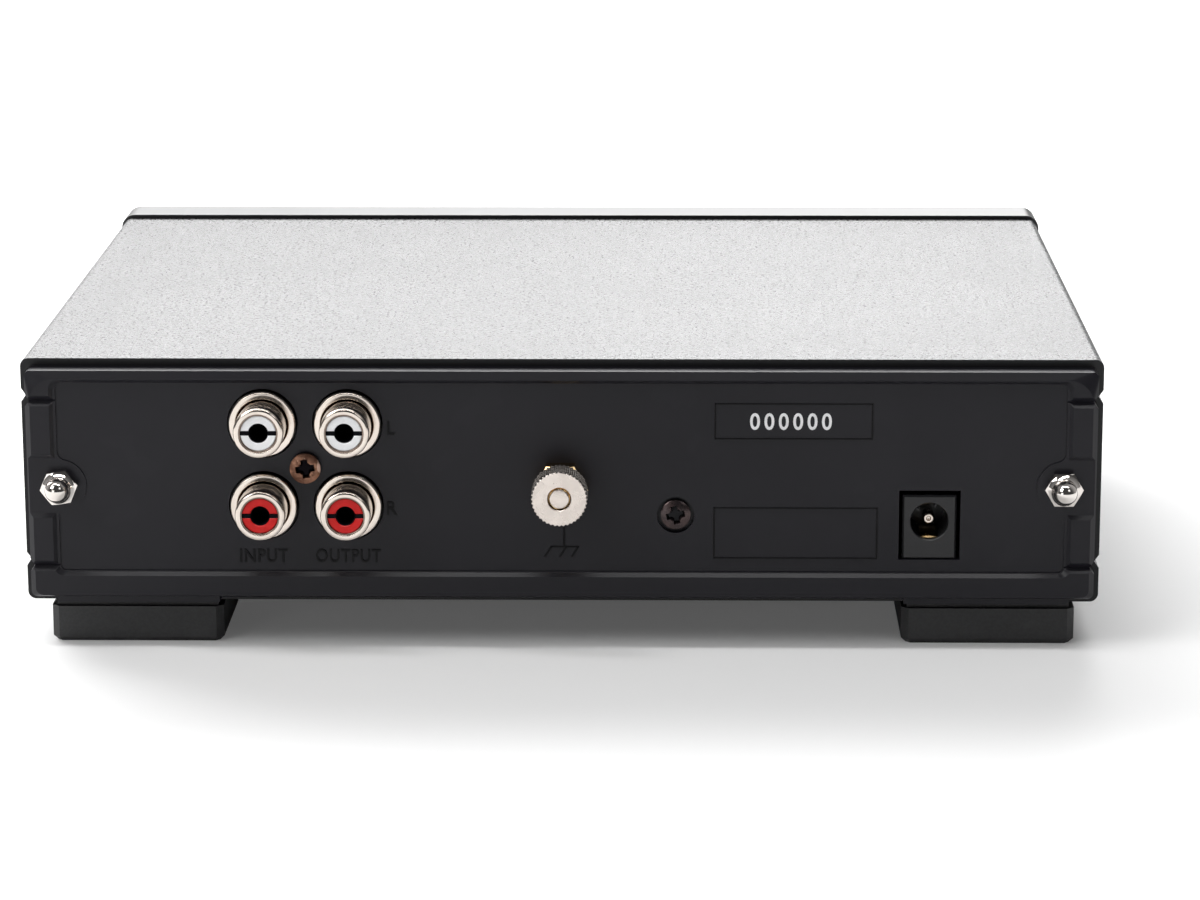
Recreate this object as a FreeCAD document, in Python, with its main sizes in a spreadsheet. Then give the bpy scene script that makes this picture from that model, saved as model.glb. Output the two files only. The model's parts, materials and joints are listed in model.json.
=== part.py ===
import FreeCAD, Part

import math
import os
import re

import Sketcher

# Half-width phono preamp, seen from its connector side in the reference.
# Every sub-part is drawn with x to the side, y = 0 at the sleeve's rear end and
# z = 0 on the table, and its Placement brings the whole part to the middle of its own box.
# Lengths are in millimetres.

SIZES = {
    # extruded sleeve
    "case_width": 180.0,
    "case_height": 41.5,
    "sleeve_length": 130.0,
    "top_wall": 1.4,
    "side_wall": 1.8,
    "sleeve_corner": 1.4,
    "upper_vee_drop": 6.25,
    "lower_vee_rise": 7.0,
    "vee_depth": 0.8,
    "vee_half": 1.15,
    "guide_reach": 2.2,
    "guide_rib": 1.2,
    # rear panel
    "panel_side_inset": 1.2,
    "panel_top_inset": 1.3,
    "panel_bottom_rise": 1.5,
    "panel_edge": 3.8,
    "panel_bevel": 0.9,
    "panel_top_bevel": 1.2,
    "panel_foot_bevel": 0.4,
    "panel_corner": 1.0,
    "face_top_corner": 4.0,
    "face_foot_corner": 1.3,
    "tab_drop": 0.8,
    "tab_trim": 1.3,
    "recess_side_rim": 4.1,
    "recess_top_rim": 1.35,
    "recess_foot_rim": 3.8,
    "recess_depth": 0.6,
    "recess_side_run": 0.6,
    "recess_end_run": 0.6,
    "recess_corner": 1.6,
    "field_depth": 0.3,
    "field_ledge": 0.4,
    "field_corner": 0.9,
    "boss_radius": 4.4,
    "boss_blend": 1.5,
    "lowland_half": 4.7,
    "lowland_run": 0.7,
    "face_vee_depth": 0.8,
    "face_vee_half": 0.9,
    "tongue_wall": 1.5,
    "tongue_reach": 3.0,
    "tongue_half": 66.0,
    # front fascia
    "fascia_thickness": 10.0,
    "fascia_overhang": 0.7,
    "fascia_corner": 2.6,
    "fascia_edge": 0.8,
    "fascia_wall": 4.0,
    "fascia_rim": 4.4,
    "insert_flats": 5.5,
    "insert_length": 4.6,
    "insert_wall": 1.9,
    # tie rods and dome nuts
    "rod_side_inset": 6.65,
    "rod_rise": 20.7,
    "rod_radius": 1.45,
    "rod_grip": 4.4,
    "thread_gap": 0.05,
    "clearance_gap": 0.25,
    "nut_flats": 5.5,
    "nut_height": 2.4,
    "dome_radius": 2.0,
    "dome_rise": 5.6,
    "dome_shoulder": 1.4,
    "dome_shoulder_drop": 0.57,
    "left_nut_lean": -8.0,
    "right_nut_lean": 0.0,
    # feet
    "foot_height": 7.5,
    "foot_width": 29.0,
    "foot_depth": 24.0,
    "foot_side_inset": 3.85,
    "foot_neck": 1.3,
    "foot_neck_inset": 0.9,
    "foot_corner": 1.2,
    "foot_edge": 0.8,
    # main board
    "board_thickness": 1.6,
    "board_rise": 8.2,
    "board_gap": 0.1,
    "board_side_gap": 0.4,
    "board_rear_gap": 0.6,
    "board_front_gap": 3.0,
    "board_corner": 1.5,
    # sockets
    "socket_side_inset": 40.6,
    "socket_pitch": 14.1,
    "socket_low_rise": 17.3,
    "socket_row_pitch": 14.0,
    "flange_radius": 5.6,
    "flange_height": 5.0,
    "flange_hole_gap": 0.3,
    "barrel_radius": 4.15,
    "barrel_length": 6.3,
    "shell_bore": 3.0,
    "insulator_setback": 0.45,
    "pin_bore_radius": 1.65,
    "insulator_slot": 0.55,
    "insulator_slot_depth": 5.5,
    "contact_width": 2.2,
    "contact_thickness": 0.5,
    "contact_tail": 3.0,
    "block_margin": 6.6,
    "block_depth": 12.0,
    "block_edge": 1.0,
    "block_screw_drop": 0.4,
    "block_screw_radius": 1.25,
    "block_screw_length": 9.0,
    "block_head_radius": 2.55,
    "block_head_height": 1.6,
    # ground terminal
    "ground_x": 0.0,
    "stud_radius": 1.85,
    "stud_tail": 6.0,
    "base_nut_flats": 8.0,
    "base_nut_height": 3.1,
    "washer_radius": 4.0,
    "washer_height": 0.4,
    "washer_gap": 0.2,
    "running_gap": 0.08,
    "thumb_radius": 4.65,
    "thumb_height": 5.4,
    "strap_thickness": 0.8,
    "strap_width": 8.0,
    "strap_foot": 5.0,
    "inner_nut_flats": 7.0,
    "inner_nut_height": 3.2,
    # screw from the panel into the board's bracket
    "bracket_x": -19.1,
    "bracket_rise": 15.8,
    "panel_screw_radius": 1.45,
    "panel_screw_length": 8.0,
    "panel_head_radius": 2.5,
    "panel_head_height": 1.5,
    "panel_well_radius": 3.1,
    "panel_well_depth": 1.2,
    "bracket_width": 12.0,
    "bracket_thickness": 1.5,
    "bracket_foot": 11.0,
    "bracket_above": 4.5,
    "bracket_bend": 1.2,
    "bracket_tab_width": 2.0,
    "bracket_tab_inset": 1.5,
    "bracket_tab_reach": 1.0,
    # power inlet
    "inlet_side_inset": 28.7,
    "inlet_width": 9.0,
    "inlet_height": 11.0,
    "inlet_depth": 14.3,
    "inlet_face_setback": 0.4,
    "inlet_side_gap": 0.6,
    "inlet_top_gap": 0.9,
    "inlet_edge": 0.8,
    "inlet_axis_rise": 6.5,
    "inlet_bore_radius": 3.15,
    "inlet_bore_depth": 9.5,
    "inlet_pin_radius": 1.0,
    "inlet_pin_setback": 2.0,
    "inlet_pin_tail": 1.0,
    "leaf_width": 2.9,
    "leaf_thickness": 0.35,
    "leaf_length": 7.6,
    "leaf_setback": 1.0,
    "leaf_lift": 0.5,
    "leaf_side_gap": 0.15,
    "leaf_slot_depth": 1.3,
    # push button, its switch and the indicator
    "button_side_inset": 22.0,
    "button_rise": 14.5,
    "button_radius": 5.0,
    "button_proud": 2.0,
    "button_travel": 2.5,
    "button_gap": 0.3,
    "button_collar": 1.0,
    "button_collar_height": 3.4,
    "button_rest_gap": 0.1,
    "plunger_width": 3.0,
    "plunger_socket": 4.0,
    "plunger_grip": 3.0,
    "plunger_gap": 0.12,
    "switch_width": 8.0,
    "switch_above": 3.2,
    "switch_depth": 14.0,
    "switch_front_gap": 0.5,
    "switch_edge": 0.5,
    "indicator_spacing": 14.0,
    "lens_radius": 1.5,
    "lens_tail": 0.8,
    "lens_gap": 0.05,
    "led_radius": 1.5,
    "led_length": 4.5,
    "led_lead": 0.5,
    "led_lead_half_pitch": 1.27,
    "led_lens_gap": 0.3,
    # parts on the board
    "capacitor_radius": 8.0,
    "capacitor_height": 28.0,
    "capacitor_x": -62.0,
    "capacitor_y": -50.0,
    "capacitor_pitch": 22.0,
    "rectifier_x": -61.0,
    "rectifier_y": -29.0,
    "rectifier_width": 9.0,
    "rectifier_depth": 7.0,
    "rectifier_height": 3.4,
    "sink_x": -30.0,
    "sink_y": -62.0,
    "sink_length": 38.0,
    "sink_height": 22.0,
    "sink_base": 2.5,
    "sink_fin": 1.2,
    "sink_fin_reach": 10.0,
    "sink_fin_pitch": 3.8,
    "sink_fin_count": 6,
    "regulator_width": 10.0,
    "regulator_body": 3.2,
    "regulator_body_height": 9.0,
    "regulator_tab": 1.3,
    "regulator_tab_height": 15.5,
    "regulator_lead": 0.8,
    "regulator_lead_height": 4.5,
    "regulator_half_pitch": 10.0,
    "regulator_lead_pitch": 2.54,
    "chip_width": 6.4,
    "chip_length": 9.6,
    "chip_height": 3.3,
    "chip_lift": 0.6,
    "chip_lead": 0.5,
    "chip_lead_pitch": 2.54,
    "chip_left_x": 54.0,
    "chip_right_x": 34.0,
    "chip_y": -46.0,
    "film_width": 5.0,
    "film_length": 10.0,
    "film_height": 9.5,
    "film_edge": 0.5,
    "film_y": -26.0,
    "relay_x": 10.0,
    "relay_y": -32.0,
    "relay_width": 10.0,
    "relay_length": 20.0,
    "relay_height": 10.5,
    "relay_edge": 0.6,
}

# Places and sizes that follow from the ones above.
DERIVED = {
    "case_top": "foot_height + case_height",
    "case_half": "case_width / 2",
    "upper_vee": "case_top - upper_vee_drop",
    "lower_vee": "foot_height + lower_vee_rise",
    "inner_half": "case_half - side_wall",
    "button_x": "button_side_inset - case_half",
    "inlet_x": "inlet_side_inset - case_half",
    "socket_first_x": "case_half - socket_side_inset",
    "inner_top": "case_top - top_wall",
    "inner_floor": "foot_height + top_wall",
    "panel_half": "case_half - panel_side_inset",
    "panel_top": "case_top - panel_top_inset",
    "panel_foot": "foot_height + panel_bottom_rise",
    "panel_face": "panel_edge + panel_bevel",
    "middle_face": "panel_face - recess_depth",
    "field_face": "middle_face - field_depth",
    "recess_half": "panel_half - recess_side_rim",
    "recess_top": "panel_top - recess_top_rim",
    "recess_foot": "panel_foot + recess_foot_rim",
    "field_half": "recess_half - recess_side_run - field_ledge",
    "rod_x": "case_half - rod_side_inset",
    "rod_z": "foot_height + rod_rise",
    "nut_hole": "rod_radius + thread_gap",
    "foot_x": "case_half - foot_side_inset - foot_width / 2",
    "board_foot": "board_top - board_thickness",
    "board_top": "foot_height + board_rise",
    "board_half": "inner_half - board_side_gap",
    "board_front": "board_front_gap - sleeve_length",
    "barrel_face": "flange_height + barrel_length",
    "insulator_face": "barrel_face - insulator_setback",
    "socket_second_x": "socket_first_x - socket_pitch",
    "socket_low": "foot_height + socket_low_rise",
    "socket_high": "socket_low + socket_row_pitch",
    "block_screw_x": "socket_first_x - socket_pitch / 2",
    "block_screw_z": "socket_low + socket_row_pitch / 2 - block_screw_drop",
    "base_nut_face": "field_face + base_nut_height",
    "washer_face": "base_nut_face + washer_height",
    "ground_face": "washer_face + thumb_height",
    "panel_screw_z": "foot_height + bracket_rise",
    "inlet_face": "field_face - inlet_face_setback",
    "inlet_z": "board_top + inlet_axis_rise",
    "fascia_front": "0 - sleeve_length - fascia_thickness",
    "fascia_inner": "fascia_wall - sleeve_length - fascia_thickness",
    "fascia_half": "case_half + fascia_overhang",
    "fascia_top": "case_top + fascia_overhang",
    "fascia_foot": "foot_height - fascia_overhang",
    "button_z": "foot_height + button_rise",
    "collar_front": "fascia_inner + button_rest_gap",
    "button_back": "collar_front + button_collar_height",
    "switch_front": "button_back + button_travel + switch_front_gap",
    "switch_back": "switch_front + switch_depth",
    "indicator_x": "button_x + indicator_spacing",
    "sheet_shift": "(button_proud + fascia_thickness + sleeve_length - ground_face) / 2",
}

NAME = re.compile(r"[a-z]+(?:_[a-z]+)+")

doc = FreeCAD.newDocument("phono_preamp")
sheet = doc.addObject("Spreadsheet::Sheet", "Sizes")
parts = []


def fill_sheet():
    """Write each driving size into its own cell, with its name as the alias."""
    for row, (name, size) in enumerate(SIZES.items(), start=1):
        sheet.set("A%d" % row, name)
        sheet.set("B%d" % row, str(size))
        sheet.setAlias("B%d" % row, name)
    doc.recompute()


def refer(text):
    """Turn the names in an expression into references to the sheet."""
    def swap(found):
        name = found.group(0)
        if name in DERIVED:
            return "(" + refer(DERIVED[name]) + ")"
        return "Sizes." + name
    return NAME.sub(swap, str(text))


def value(text):
    """Work out an expression's present value."""
    return float(sheet.evalExpression(refer(text)))


def new_body(name, x="0", y="0", z="0"):
    """Start a sub-part, placed by expressions and shifted to the middle of the part's box."""
    body = doc.addObject("PartDesign::Body", name)
    body.Label = name
    body.setExpression(".Placement.Base.x", refer(x))
    body.setExpression(".Placement.Base.y", refer("sheet_shift + " + y))
    body.setExpression(".Placement.Base.z", refer(z))
    parts.append(body)
    return body


def new_sketch(body, plane="XZ", at="0"):
    """Start a sketch on one of the body's own planes, moved to the coordinate at along its axis."""
    sketch = body.newObject("Sketcher::SketchObject", body.Name + "_outline")
    for feature in body.Origin.OriginFeatures:
        if feature.Role == plane + "_Plane":
            sketch.AttachmentSupport = [(feature, "")]
    sketch.MapMode = "FlatFace"
    sign = "-1 * " if plane == "XZ" else "1 * "
    sketch.setExpression(".AttachmentOffset.Base.z", refer(sign + "(" + at + ")"))
    return sketch


def place_point(sketch, geometry, vertex, point):
    """Hold a vertex at an (across, up) pair of expressions, measured from the sketch's origin."""
    for kind, text in zip(("DistanceX", "DistanceY"), point):
        held = Sketcher.Constraint(kind, -1, 1, geometry, vertex, value(text))
        number = sketch.addConstraint(held)
        sketch.setExpression("Constraints[%d]" % number, refer(text))


def arc_between(start, end, radius, turn):
    """Make the arc under a half circle from start to end, turning left for 1 and right for -1."""
    chord = end.sub(start)
    height = math.sqrt(max(radius ** 2 - (chord.Length / 2) ** 2, 0.0))
    left = FreeCAD.Vector(-chord.y, chord.x, 0).normalize()
    centre = start + chord * 0.5 + left * (height * turn)
    first, last = (start, end) if turn > 0 else (end, start)
    begin = math.atan2(first.y - centre.y, first.x - centre.x)
    finish = math.atan2(last.y - centre.y, last.x - centre.x)
    circle = Part.Circle(centre, FreeCAD.Vector(0, 0, 1), radius)
    return Part.ArcOfCircle(circle, begin, finish)


def add_loop(sketch, points, arcs=None):
    """Draw a closed outline; arcs gives (radius, turn) for the stretch that leaves a point."""
    arcs = arcs or {}
    places = [FreeCAD.Vector(value(x), value(y), 0) for x, y in points]
    ends = []
    for index, start in enumerate(places):
        end = places[(index + 1) % len(places)]
        if index in arcs:
            radius, turn = arcs[index]
            shape = arc_between(start, end, value(radius), turn)
            number = sketch.addGeometry(shape, False)
            ends.append((number, 1, 2) if turn > 0 else (number, 2, 1))
            held = sketch.addConstraint(Sketcher.Constraint("Radius", number, value(radius)))
            sketch.setExpression("Constraints[%d]" % held, refer(radius))
        else:
            number = sketch.addGeometry(Part.LineSegment(start, end), False)
            ends.append((number, 1, 2))
    for index, (number, first, last) in enumerate(ends):
        follower = ends[(index + 1) % len(ends)]
        joined = Sketcher.Constraint("Coincident", number, last, follower[0], follower[1])
        sketch.addConstraint(joined)
        place_point(sketch, number, first, points[index])


def add_circle(sketch, x, y, radius):
    """Draw a circle whose centre and radius are expressions."""
    centre = FreeCAD.Vector(value(x), value(y), 0)
    circle = Part.Circle(centre, FreeCAD.Vector(0, 0, 1), value(radius))
    number = sketch.addGeometry(circle, False)
    place_point(sketch, number, 3, (x, y))
    held = sketch.addConstraint(Sketcher.Constraint("Radius", number, value(radius)))
    sketch.setExpression("Constraints[%d]" % held, refer(radius))


def add_box(sketch, left, right, low, high):
    """Draw a sharp-cornered rectangle."""
    add_loop(sketch, [(left, low), (right, low), (right, high), (left, high)])


def add_round_box(sketch, left, right, low, high, foot_radius, top_radius=None):
    """Draw a rectangle with round corners; the upper two may have their own radius."""
    top_radius = top_radius or foot_radius
    points = [
        (left + " + " + foot_radius, low),
        (right + " - " + foot_radius, low),
        (right, low + " + " + foot_radius),
        (right, high + " - " + top_radius),
        (right + " - " + top_radius, high),
        (left + " + " + top_radius, high),
        (left, high + " - " + top_radius),
        (left, low + " + " + foot_radius),
    ]
    arcs = {1: (foot_radius, 1), 3: (top_radius, 1), 5: (top_radius, 1), 7: (foot_radius, 1)}
    add_loop(sketch, points, arcs)


def add_cut_box(sketch, left, right, low, high, cut):
    """Draw a rectangle whose four corners are cut off straight."""
    add_loop(sketch, [
        (left + " + " + cut, low),
        (right + " - " + cut, low),
        (right, low + " + " + cut),
        (right, high + " - " + cut),
        (right + " - " + cut, high),
        (left + " + " + cut, high),
        (left, high + " - " + cut),
        (left, low + " + " + cut),
    ])


def add_hexagon(sketch, flats, lean="0", x="0", z="0"):
    """Draw a hexagon of a width across flats, leaning from level by an angle."""
    points = []
    for angle in (0, 60, 120, 180, 240, 300):
        across = "%s + (%s) / 2 / cos(30) * cos(%d + %s)" % (x, flats, angle, lean)
        upward = "%s + (%s) / 2 / cos(30) * sin(%d + %s)" % (z, flats, angle, lean)
        points.append((across, upward))
    add_loop(sketch, points)


def add_both_sides(sketch, right_points, right_arcs=None):
    """Draw an outline from its right half, listed from the foot up, and the mirror of it."""
    right_arcs = right_arcs or {}
    count = len(right_points)
    left_points = [("-1 * (" + x + ")", y) for x, y in reversed(right_points)]
    arcs = dict(right_arcs)
    for index, arc in right_arcs.items():
        arcs[2 * count - 2 - index] = arc
    add_loop(sketch, right_points + left_points, arcs)


def follows_normal(sketch, towards):
    """Tell whether a step along the axis, + or -, follows the normal of the sketch's plane."""
    faces_back = sketch.AttachmentSupport[0][0].Role == "XZ_Plane"
    return (towards > 0) != faces_back


def pad(body, sketch, length, towards=1, symmetric=False):
    """Raise a sketch towards the + or - end of the axis that crosses its plane."""
    feature = body.newObject("PartDesign::Pad", body.Name + "_pad")
    feature.Profile = sketch
    feature.setExpression("Length", refer(length))
    feature.Reversed = not follows_normal(sketch, towards)
    if symmetric:
        feature.SideType = "Symmetric"
    return feature


def pocket(body, sketch, length, towards=1, symmetric=False):
    """Cut a sketch towards the + or - end of the axis that crosses its plane."""
    feature = body.newObject("PartDesign::Pocket", body.Name + "_cut")
    feature.Profile = sketch
    feature.setExpression("Length", refer(length))
    feature.Reversed = follows_normal(sketch, towards)
    if symmetric:
        feature.SideType = "Symmetric"
    return feature


def turn(body, points, arcs=None):
    """Spin a (radius, y) outline about the body's y axis."""
    sketch = new_sketch(body, "XY")
    add_loop(sketch, points, arcs)
    feature = body.newObject("PartDesign::Revolution", body.Name + "_turned")
    feature.Profile = sketch
    feature.ReferenceAxis = (sketch, ["V_Axis"])
    feature.Angle = 360.0
    return feature


def turn_cut(body, points):
    """Cut a (radius, y) outline spun about the body's y axis."""
    sketch = new_sketch(body, "XY")
    add_loop(sketch, points)
    feature = body.newObject("PartDesign::Groove", body.Name + "_groove")
    feature.Profile = sketch
    feature.ReferenceAxis = (sketch, ["V_Axis"])
    feature.Angle = 360.0
    return feature


def loft(body, kind, sketches):
    """Join outlines by a ruled skin, as added or cut away material."""
    feature = body.newObject("PartDesign::" + kind, body.Name + "_loft")
    feature.Profile = sketches[0]
    feature.Sections = sketches[1:]
    feature.Ruled = True
    return feature


def dress_edges(body, kind, size, wanted):
    """Round or chamfer the edges of the body's last feature that the test wanted picks."""
    doc.recompute()
    base = body.Tip
    names = []
    for number, edge in enumerate(base.Shape.Edges, start=1):
        if wanted(edge):
            names.append("Edge%d" % number)
    feature = body.newObject("PartDesign::" + kind, body.Name + "_edge")
    feature.Base = (base, names)
    prop = "Radius" if kind == "Fillet" else "Size"
    feature.setExpression(prop, refer(size))
    return feature


def lies_at(edge, axis, place):
    """Tell whether a whole edge lies at one coordinate along an axis."""
    box = edge.BoundBox
    low, high = (getattr(box, axis + "Min"), getattr(box, axis + "Max"))
    return abs(low - value(place)) < 1e-4 and abs(high - value(place)) < 1e-4


def is_upright(edge):
    """Tell whether an edge is a straight line along z."""
    box = edge.BoundBox
    return box.XLength < 1e-6 and box.YLength < 1e-6


def make_sleeve():
    """Extruded aluminium sleeve: one closed profile with grooved sides and board guides."""
    body = new_body("case_sleeve")
    sketch = new_sketch(body, "XZ")
    outer = [
        ("case_half - sleeve_corner", "foot_height"),
        ("case_half", "foot_height + sleeve_corner"),
        ("case_half", "lower_vee - vee_half"),
        ("case_half - vee_depth", "lower_vee"),
        ("case_half", "lower_vee + vee_half"),
        ("case_half", "upper_vee - vee_half"),
        ("case_half - vee_depth", "upper_vee"),
        ("case_half", "upper_vee + vee_half"),
        ("case_half", "case_top - sleeve_corner"),
        ("case_half - sleeve_corner", "case_top"),
    ]
    add_both_sides(sketch, outer, {0: ("sleeve_corner", 1), 8: ("sleeve_corner", 1)})
    inner = [
        ("inner_half", "inner_floor"),
        ("inner_half", "board_foot - board_gap - guide_rib"),
        ("inner_half - guide_reach", "board_foot - board_gap - guide_rib"),
        ("inner_half - guide_reach", "board_foot - board_gap"),
        ("inner_half", "board_foot - board_gap"),
        ("inner_half", "board_top + board_gap"),
        ("inner_half - guide_reach", "board_top + board_gap"),
        ("inner_half - guide_reach", "board_top + board_gap + guide_rib"),
        ("inner_half", "board_top + board_gap + guide_rib"),
        ("inner_half", "inner_top"),
    ]
    add_both_sides(sketch, inner)
    pad(body, sketch, "sleeve_length", -1)


def add_panel_outline(body, at, side, top, foot, foot_radius, top_radius):
    """Outline of the rear panel at one depth, drawn in by the given bevels."""
    sketch = new_sketch(body, "XZ", at)
    right = "(panel_half - " + side + ")"
    low = "(panel_foot + " + foot + ")"
    high = "(panel_top - " + top + ")"
    add_round_box(sketch, "-1 * " + right, right, low, high, foot_radius, top_radius)
    return sketch


def make_rear_panel():
    """Moulded rear panel: bevelled edge, sunk field, raised rail blocks and connector holes."""
    body = new_body("rear_panel")
    plate = add_panel_outline(body, "0", "0", "0", "0", "panel_corner", "panel_corner")
    pad(body, plate, "panel_edge")
    back = add_panel_outline(body, "panel_edge", "0", "0", "0", "panel_corner", "panel_corner")
    front = add_panel_outline(body, "panel_face", "panel_bevel", "panel_top_bevel",
                              "panel_foot_bevel", "face_foot_corner", "face_top_corner")
    loft(body, "AdditiveLoft", [back, front])
    add_foot_tabs(body)
    add_tongues(body, "0", -1)
    sink_recess(body)
    sink_lowlands(body)
    cut_panel_vees(body)
    sink_field(body)
    cut_panel_holes(body)


def add_foot_tabs(body):
    """Shallow tabs that bring the panel's lower edge down in front of each rear foot."""
    sketch = new_sketch(body, "XZ")
    for side in ("1", "-1"):
        inner = side + " * (foot_x - foot_width / 2)"
        outer = side + " * (foot_x + foot_width / 2 - tab_trim)"
        low = "panel_foot - tab_drop"
        high = "panel_foot + panel_corner + tab_drop"
        points = [(inner, low), (outer + " - " + side + " * tab_drop", low)]
        points += [(outer, "panel_foot"), (outer, high), (inner, high)]
        add_loop(sketch, points)
    pad(body, sketch, "panel_face - panel_foot_bevel")


def add_tongues(body, at, towards):
    """Two flat tongues that locate an end piece inside the sleeve's mouth."""
    sketch = new_sketch(body, "XZ", at)
    low = "inner_floor + board_gap"
    high = "inner_top - board_gap"
    add_box(sketch, "0 - tongue_half", "tongue_half", high + " - tongue_wall", high)
    add_box(sketch, "0 - tongue_half", "tongue_half", low, low + " + tongue_wall")
    pad(body, sketch, "tongue_reach", towards)


def sink_recess(body):
    """Sloping-walled recess from the panel's face down to its middle level."""
    outlines = []
    for at, side, end in (("panel_face", "0", "0"),
                          ("middle_face", "recess_side_run", "recess_end_run")):
        sketch = new_sketch(body, "XZ", at)
        half = "(recess_half - " + side + ")"
        low = "(recess_foot + " + end + ")"
        high = "(recess_top - " + end + ")"
        add_round_box(sketch, "-1 * " + half, half, low, high, "recess_corner")
        outlines.append(sketch)
    loft(body, "SubtractiveLoft", outlines)


def sink_lowlands(body):
    """Lower the rails round the dome nuts to the middle level, with sloping ends."""
    sketch = new_sketch(body, "YZ")
    points = [
        ("middle_face", "rod_z - lowland_half"),
        ("panel_face", "rod_z - lowland_half - lowland_run"),
        ("panel_face + panel_bevel", "rod_z - lowland_half - lowland_run"),
        ("panel_face + panel_bevel", "rod_z + lowland_half + lowland_run"),
        ("panel_face", "rod_z + lowland_half + lowland_run"),
        ("middle_face", "rod_z + lowland_half"),
    ]
    add_loop(sketch, points)
    pocket(body, sketch, "case_width", 1, True)


def cut_panel_vees(body):
    """Carry the sleeve's two side grooves over the panel's edges and across its rails."""
    across = new_sketch(body, "YZ")
    down = new_sketch(body, "XZ", "panel_face")
    for level in ("upper_vee", "lower_vee"):
        tip = ("panel_face - face_vee_depth", level)
        mouth_foot = ("panel_face", level + " - face_vee_half")
        mouth_top = ("panel_face", level + " + face_vee_half")
        add_loop(across, [tip, mouth_foot, mouth_top])
        for side in ("1", "-1"):
            tip = (side + " * (panel_half - vee_depth)", level)
            foot = (side + " * (panel_half)", level + " - vee_half")
            out_foot = (side + " * (case_half)", level + " - vee_half")
            out_top = (side + " * (case_half)", level + " + vee_half")
            top = (side + " * (panel_half)", level + " + vee_half")
            add_loop(down, [tip, foot, out_foot, out_top, top])
    pocket(body, across, "case_width", 1, True)
    pocket(body, down, "panel_face", -1)


def sink_field(body):
    """Last shallow step of the field, which leaves a round boss about each dome nut."""
    body_half = "field_half"
    low = "recess_foot + recess_end_run + field_ledge / 2"
    high = "recess_top - recess_end_run - field_ledge / 2"
    reach = "(rod_x - field_half + boss_blend)"
    rise = "sqrt((boss_radius + boss_blend)^2 - " + reach + "^2)"
    share = "boss_radius / (boss_radius + boss_blend)"
    touch_x = "rod_x - " + reach + " * " + share
    touch_z = rise + " * " + share
    right = [
        (body_half + " - field_corner", low),
        (body_half, low + " + field_corner"),
        (body_half, "rod_z - " + rise),
        (touch_x, "rod_z - " + touch_z),
        ("rod_x - boss_radius", "rod_z"),
        (touch_x, "rod_z + " + touch_z),
        (body_half, "rod_z + " + rise),
        (body_half, high + " - field_corner"),
        (body_half + " - field_corner", high),
    ]
    arcs = {
        0: ("field_corner", 1),
        2: ("boss_blend", 1),
        3: ("boss_radius", -1),
        4: ("boss_radius", -1),
        5: ("boss_blend", 1),
        7: ("field_corner", 1),
    }
    sketch = new_sketch(body, "XZ", "middle_face")
    add_both_sides(sketch, right, arcs)
    pocket(body, sketch, "field_depth", -1)


def cut_panel_holes(body):
    """Holes of the sockets, screws, stud, inlet and tie rods."""
    through = new_sketch(body, "XZ", "panel_face")
    for x in ("socket_first_x", "socket_second_x"):
        for z in ("socket_low", "socket_high"):
            add_circle(through, x, z, "flange_radius + flange_hole_gap")
    add_circle(through, "block_screw_x", "block_screw_z", "block_screw_radius + clearance_gap")
    add_circle(through, "ground_x", "rod_z", "stud_radius + clearance_gap")
    add_circle(through, "bracket_x", "panel_screw_z", "panel_screw_radius + clearance_gap")
    for side in ("1 * ", "-1 * "):
        add_circle(through, side + "(rod_x)", "rod_z", "rod_radius + clearance_gap")
    left = "inlet_x - inlet_width / 2 - inlet_side_gap"
    right = "inlet_x + inlet_width / 2 + inlet_side_gap"
    high = "board_top + inlet_height + inlet_top_gap"
    add_box(through, left, right, "board_top", high)
    pocket(body, through, "panel_face * 2", -1)
    well = new_sketch(body, "XZ", "field_face")
    add_circle(well, "bracket_x", "panel_screw_z", "panel_well_radius")
    pocket(body, well, "panel_well_depth", -1)


def make_fascia():
    """Front fascia: a thick rounded plate, hollow behind, with bosses for the tie rods."""
    body = new_body("front_fascia")
    plate = new_sketch(body, "XZ", "fascia_front")
    add_round_box(plate, "0 - fascia_half", "fascia_half", "fascia_foot", "fascia_top", "fascia_corner")
    pad(body, plate, "fascia_thickness")
    dress_edges(body, "Chamfer", "fascia_edge", lambda edge: lies_at(edge, "Y", "fascia_front"))
    hollow = new_sketch(body, "XZ", "fascia_inner")
    add_box(hollow, "fascia_rim - fascia_half", "fascia_half - fascia_rim",
            "fascia_foot + fascia_rim", "fascia_top - fascia_rim")
    pocket(body, hollow, "fascia_thickness", 1)
    bosses = new_sketch(body, "XZ", "fascia_inner")
    for side in ("1 * ", "-1 * "):
        add_circle(bosses, side + "(rod_x)", "rod_z", "insert_flats / 2 + insert_wall")
    pad(body, bosses, "fascia_thickness - fascia_wall")
    add_tongues(body, "0 - sleeve_length", 1)
    sockets = new_sketch(body, "XZ", "0 - sleeve_length")
    for side in ("1 * ", "-1 * "):
        add_hexagon(sockets, "insert_flats + thread_gap * 2", "0", side + "(rod_x)", "rod_z")
    pocket(body, sockets, "insert_length + clearance_gap", -1)
    holes = new_sketch(body, "XZ", "fascia_front")
    add_circle(holes, "button_x", "button_z", "button_radius + button_gap")
    add_circle(holes, "indicator_x", "button_z", "lens_radius + lens_gap")
    pocket(body, holes, "fascia_thickness", 1)


def make_tie_rods():
    """Two threaded rods that clamp fascia, sleeve and rear panel together."""
    for name, side in (("tie_rod_left", "1 * "), ("tie_rod_right", "-1 * ")):
        body = new_body(name, side + "(rod_x)", "0", "rod_z")
        front = "0 - sleeve_length - rod_grip"
        rear = "middle_face + nut_height + clearance_gap"
        points = [("0", front), ("rod_radius", front), ("rod_radius", rear), ("0", rear)]
        turn(body, points)


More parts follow.
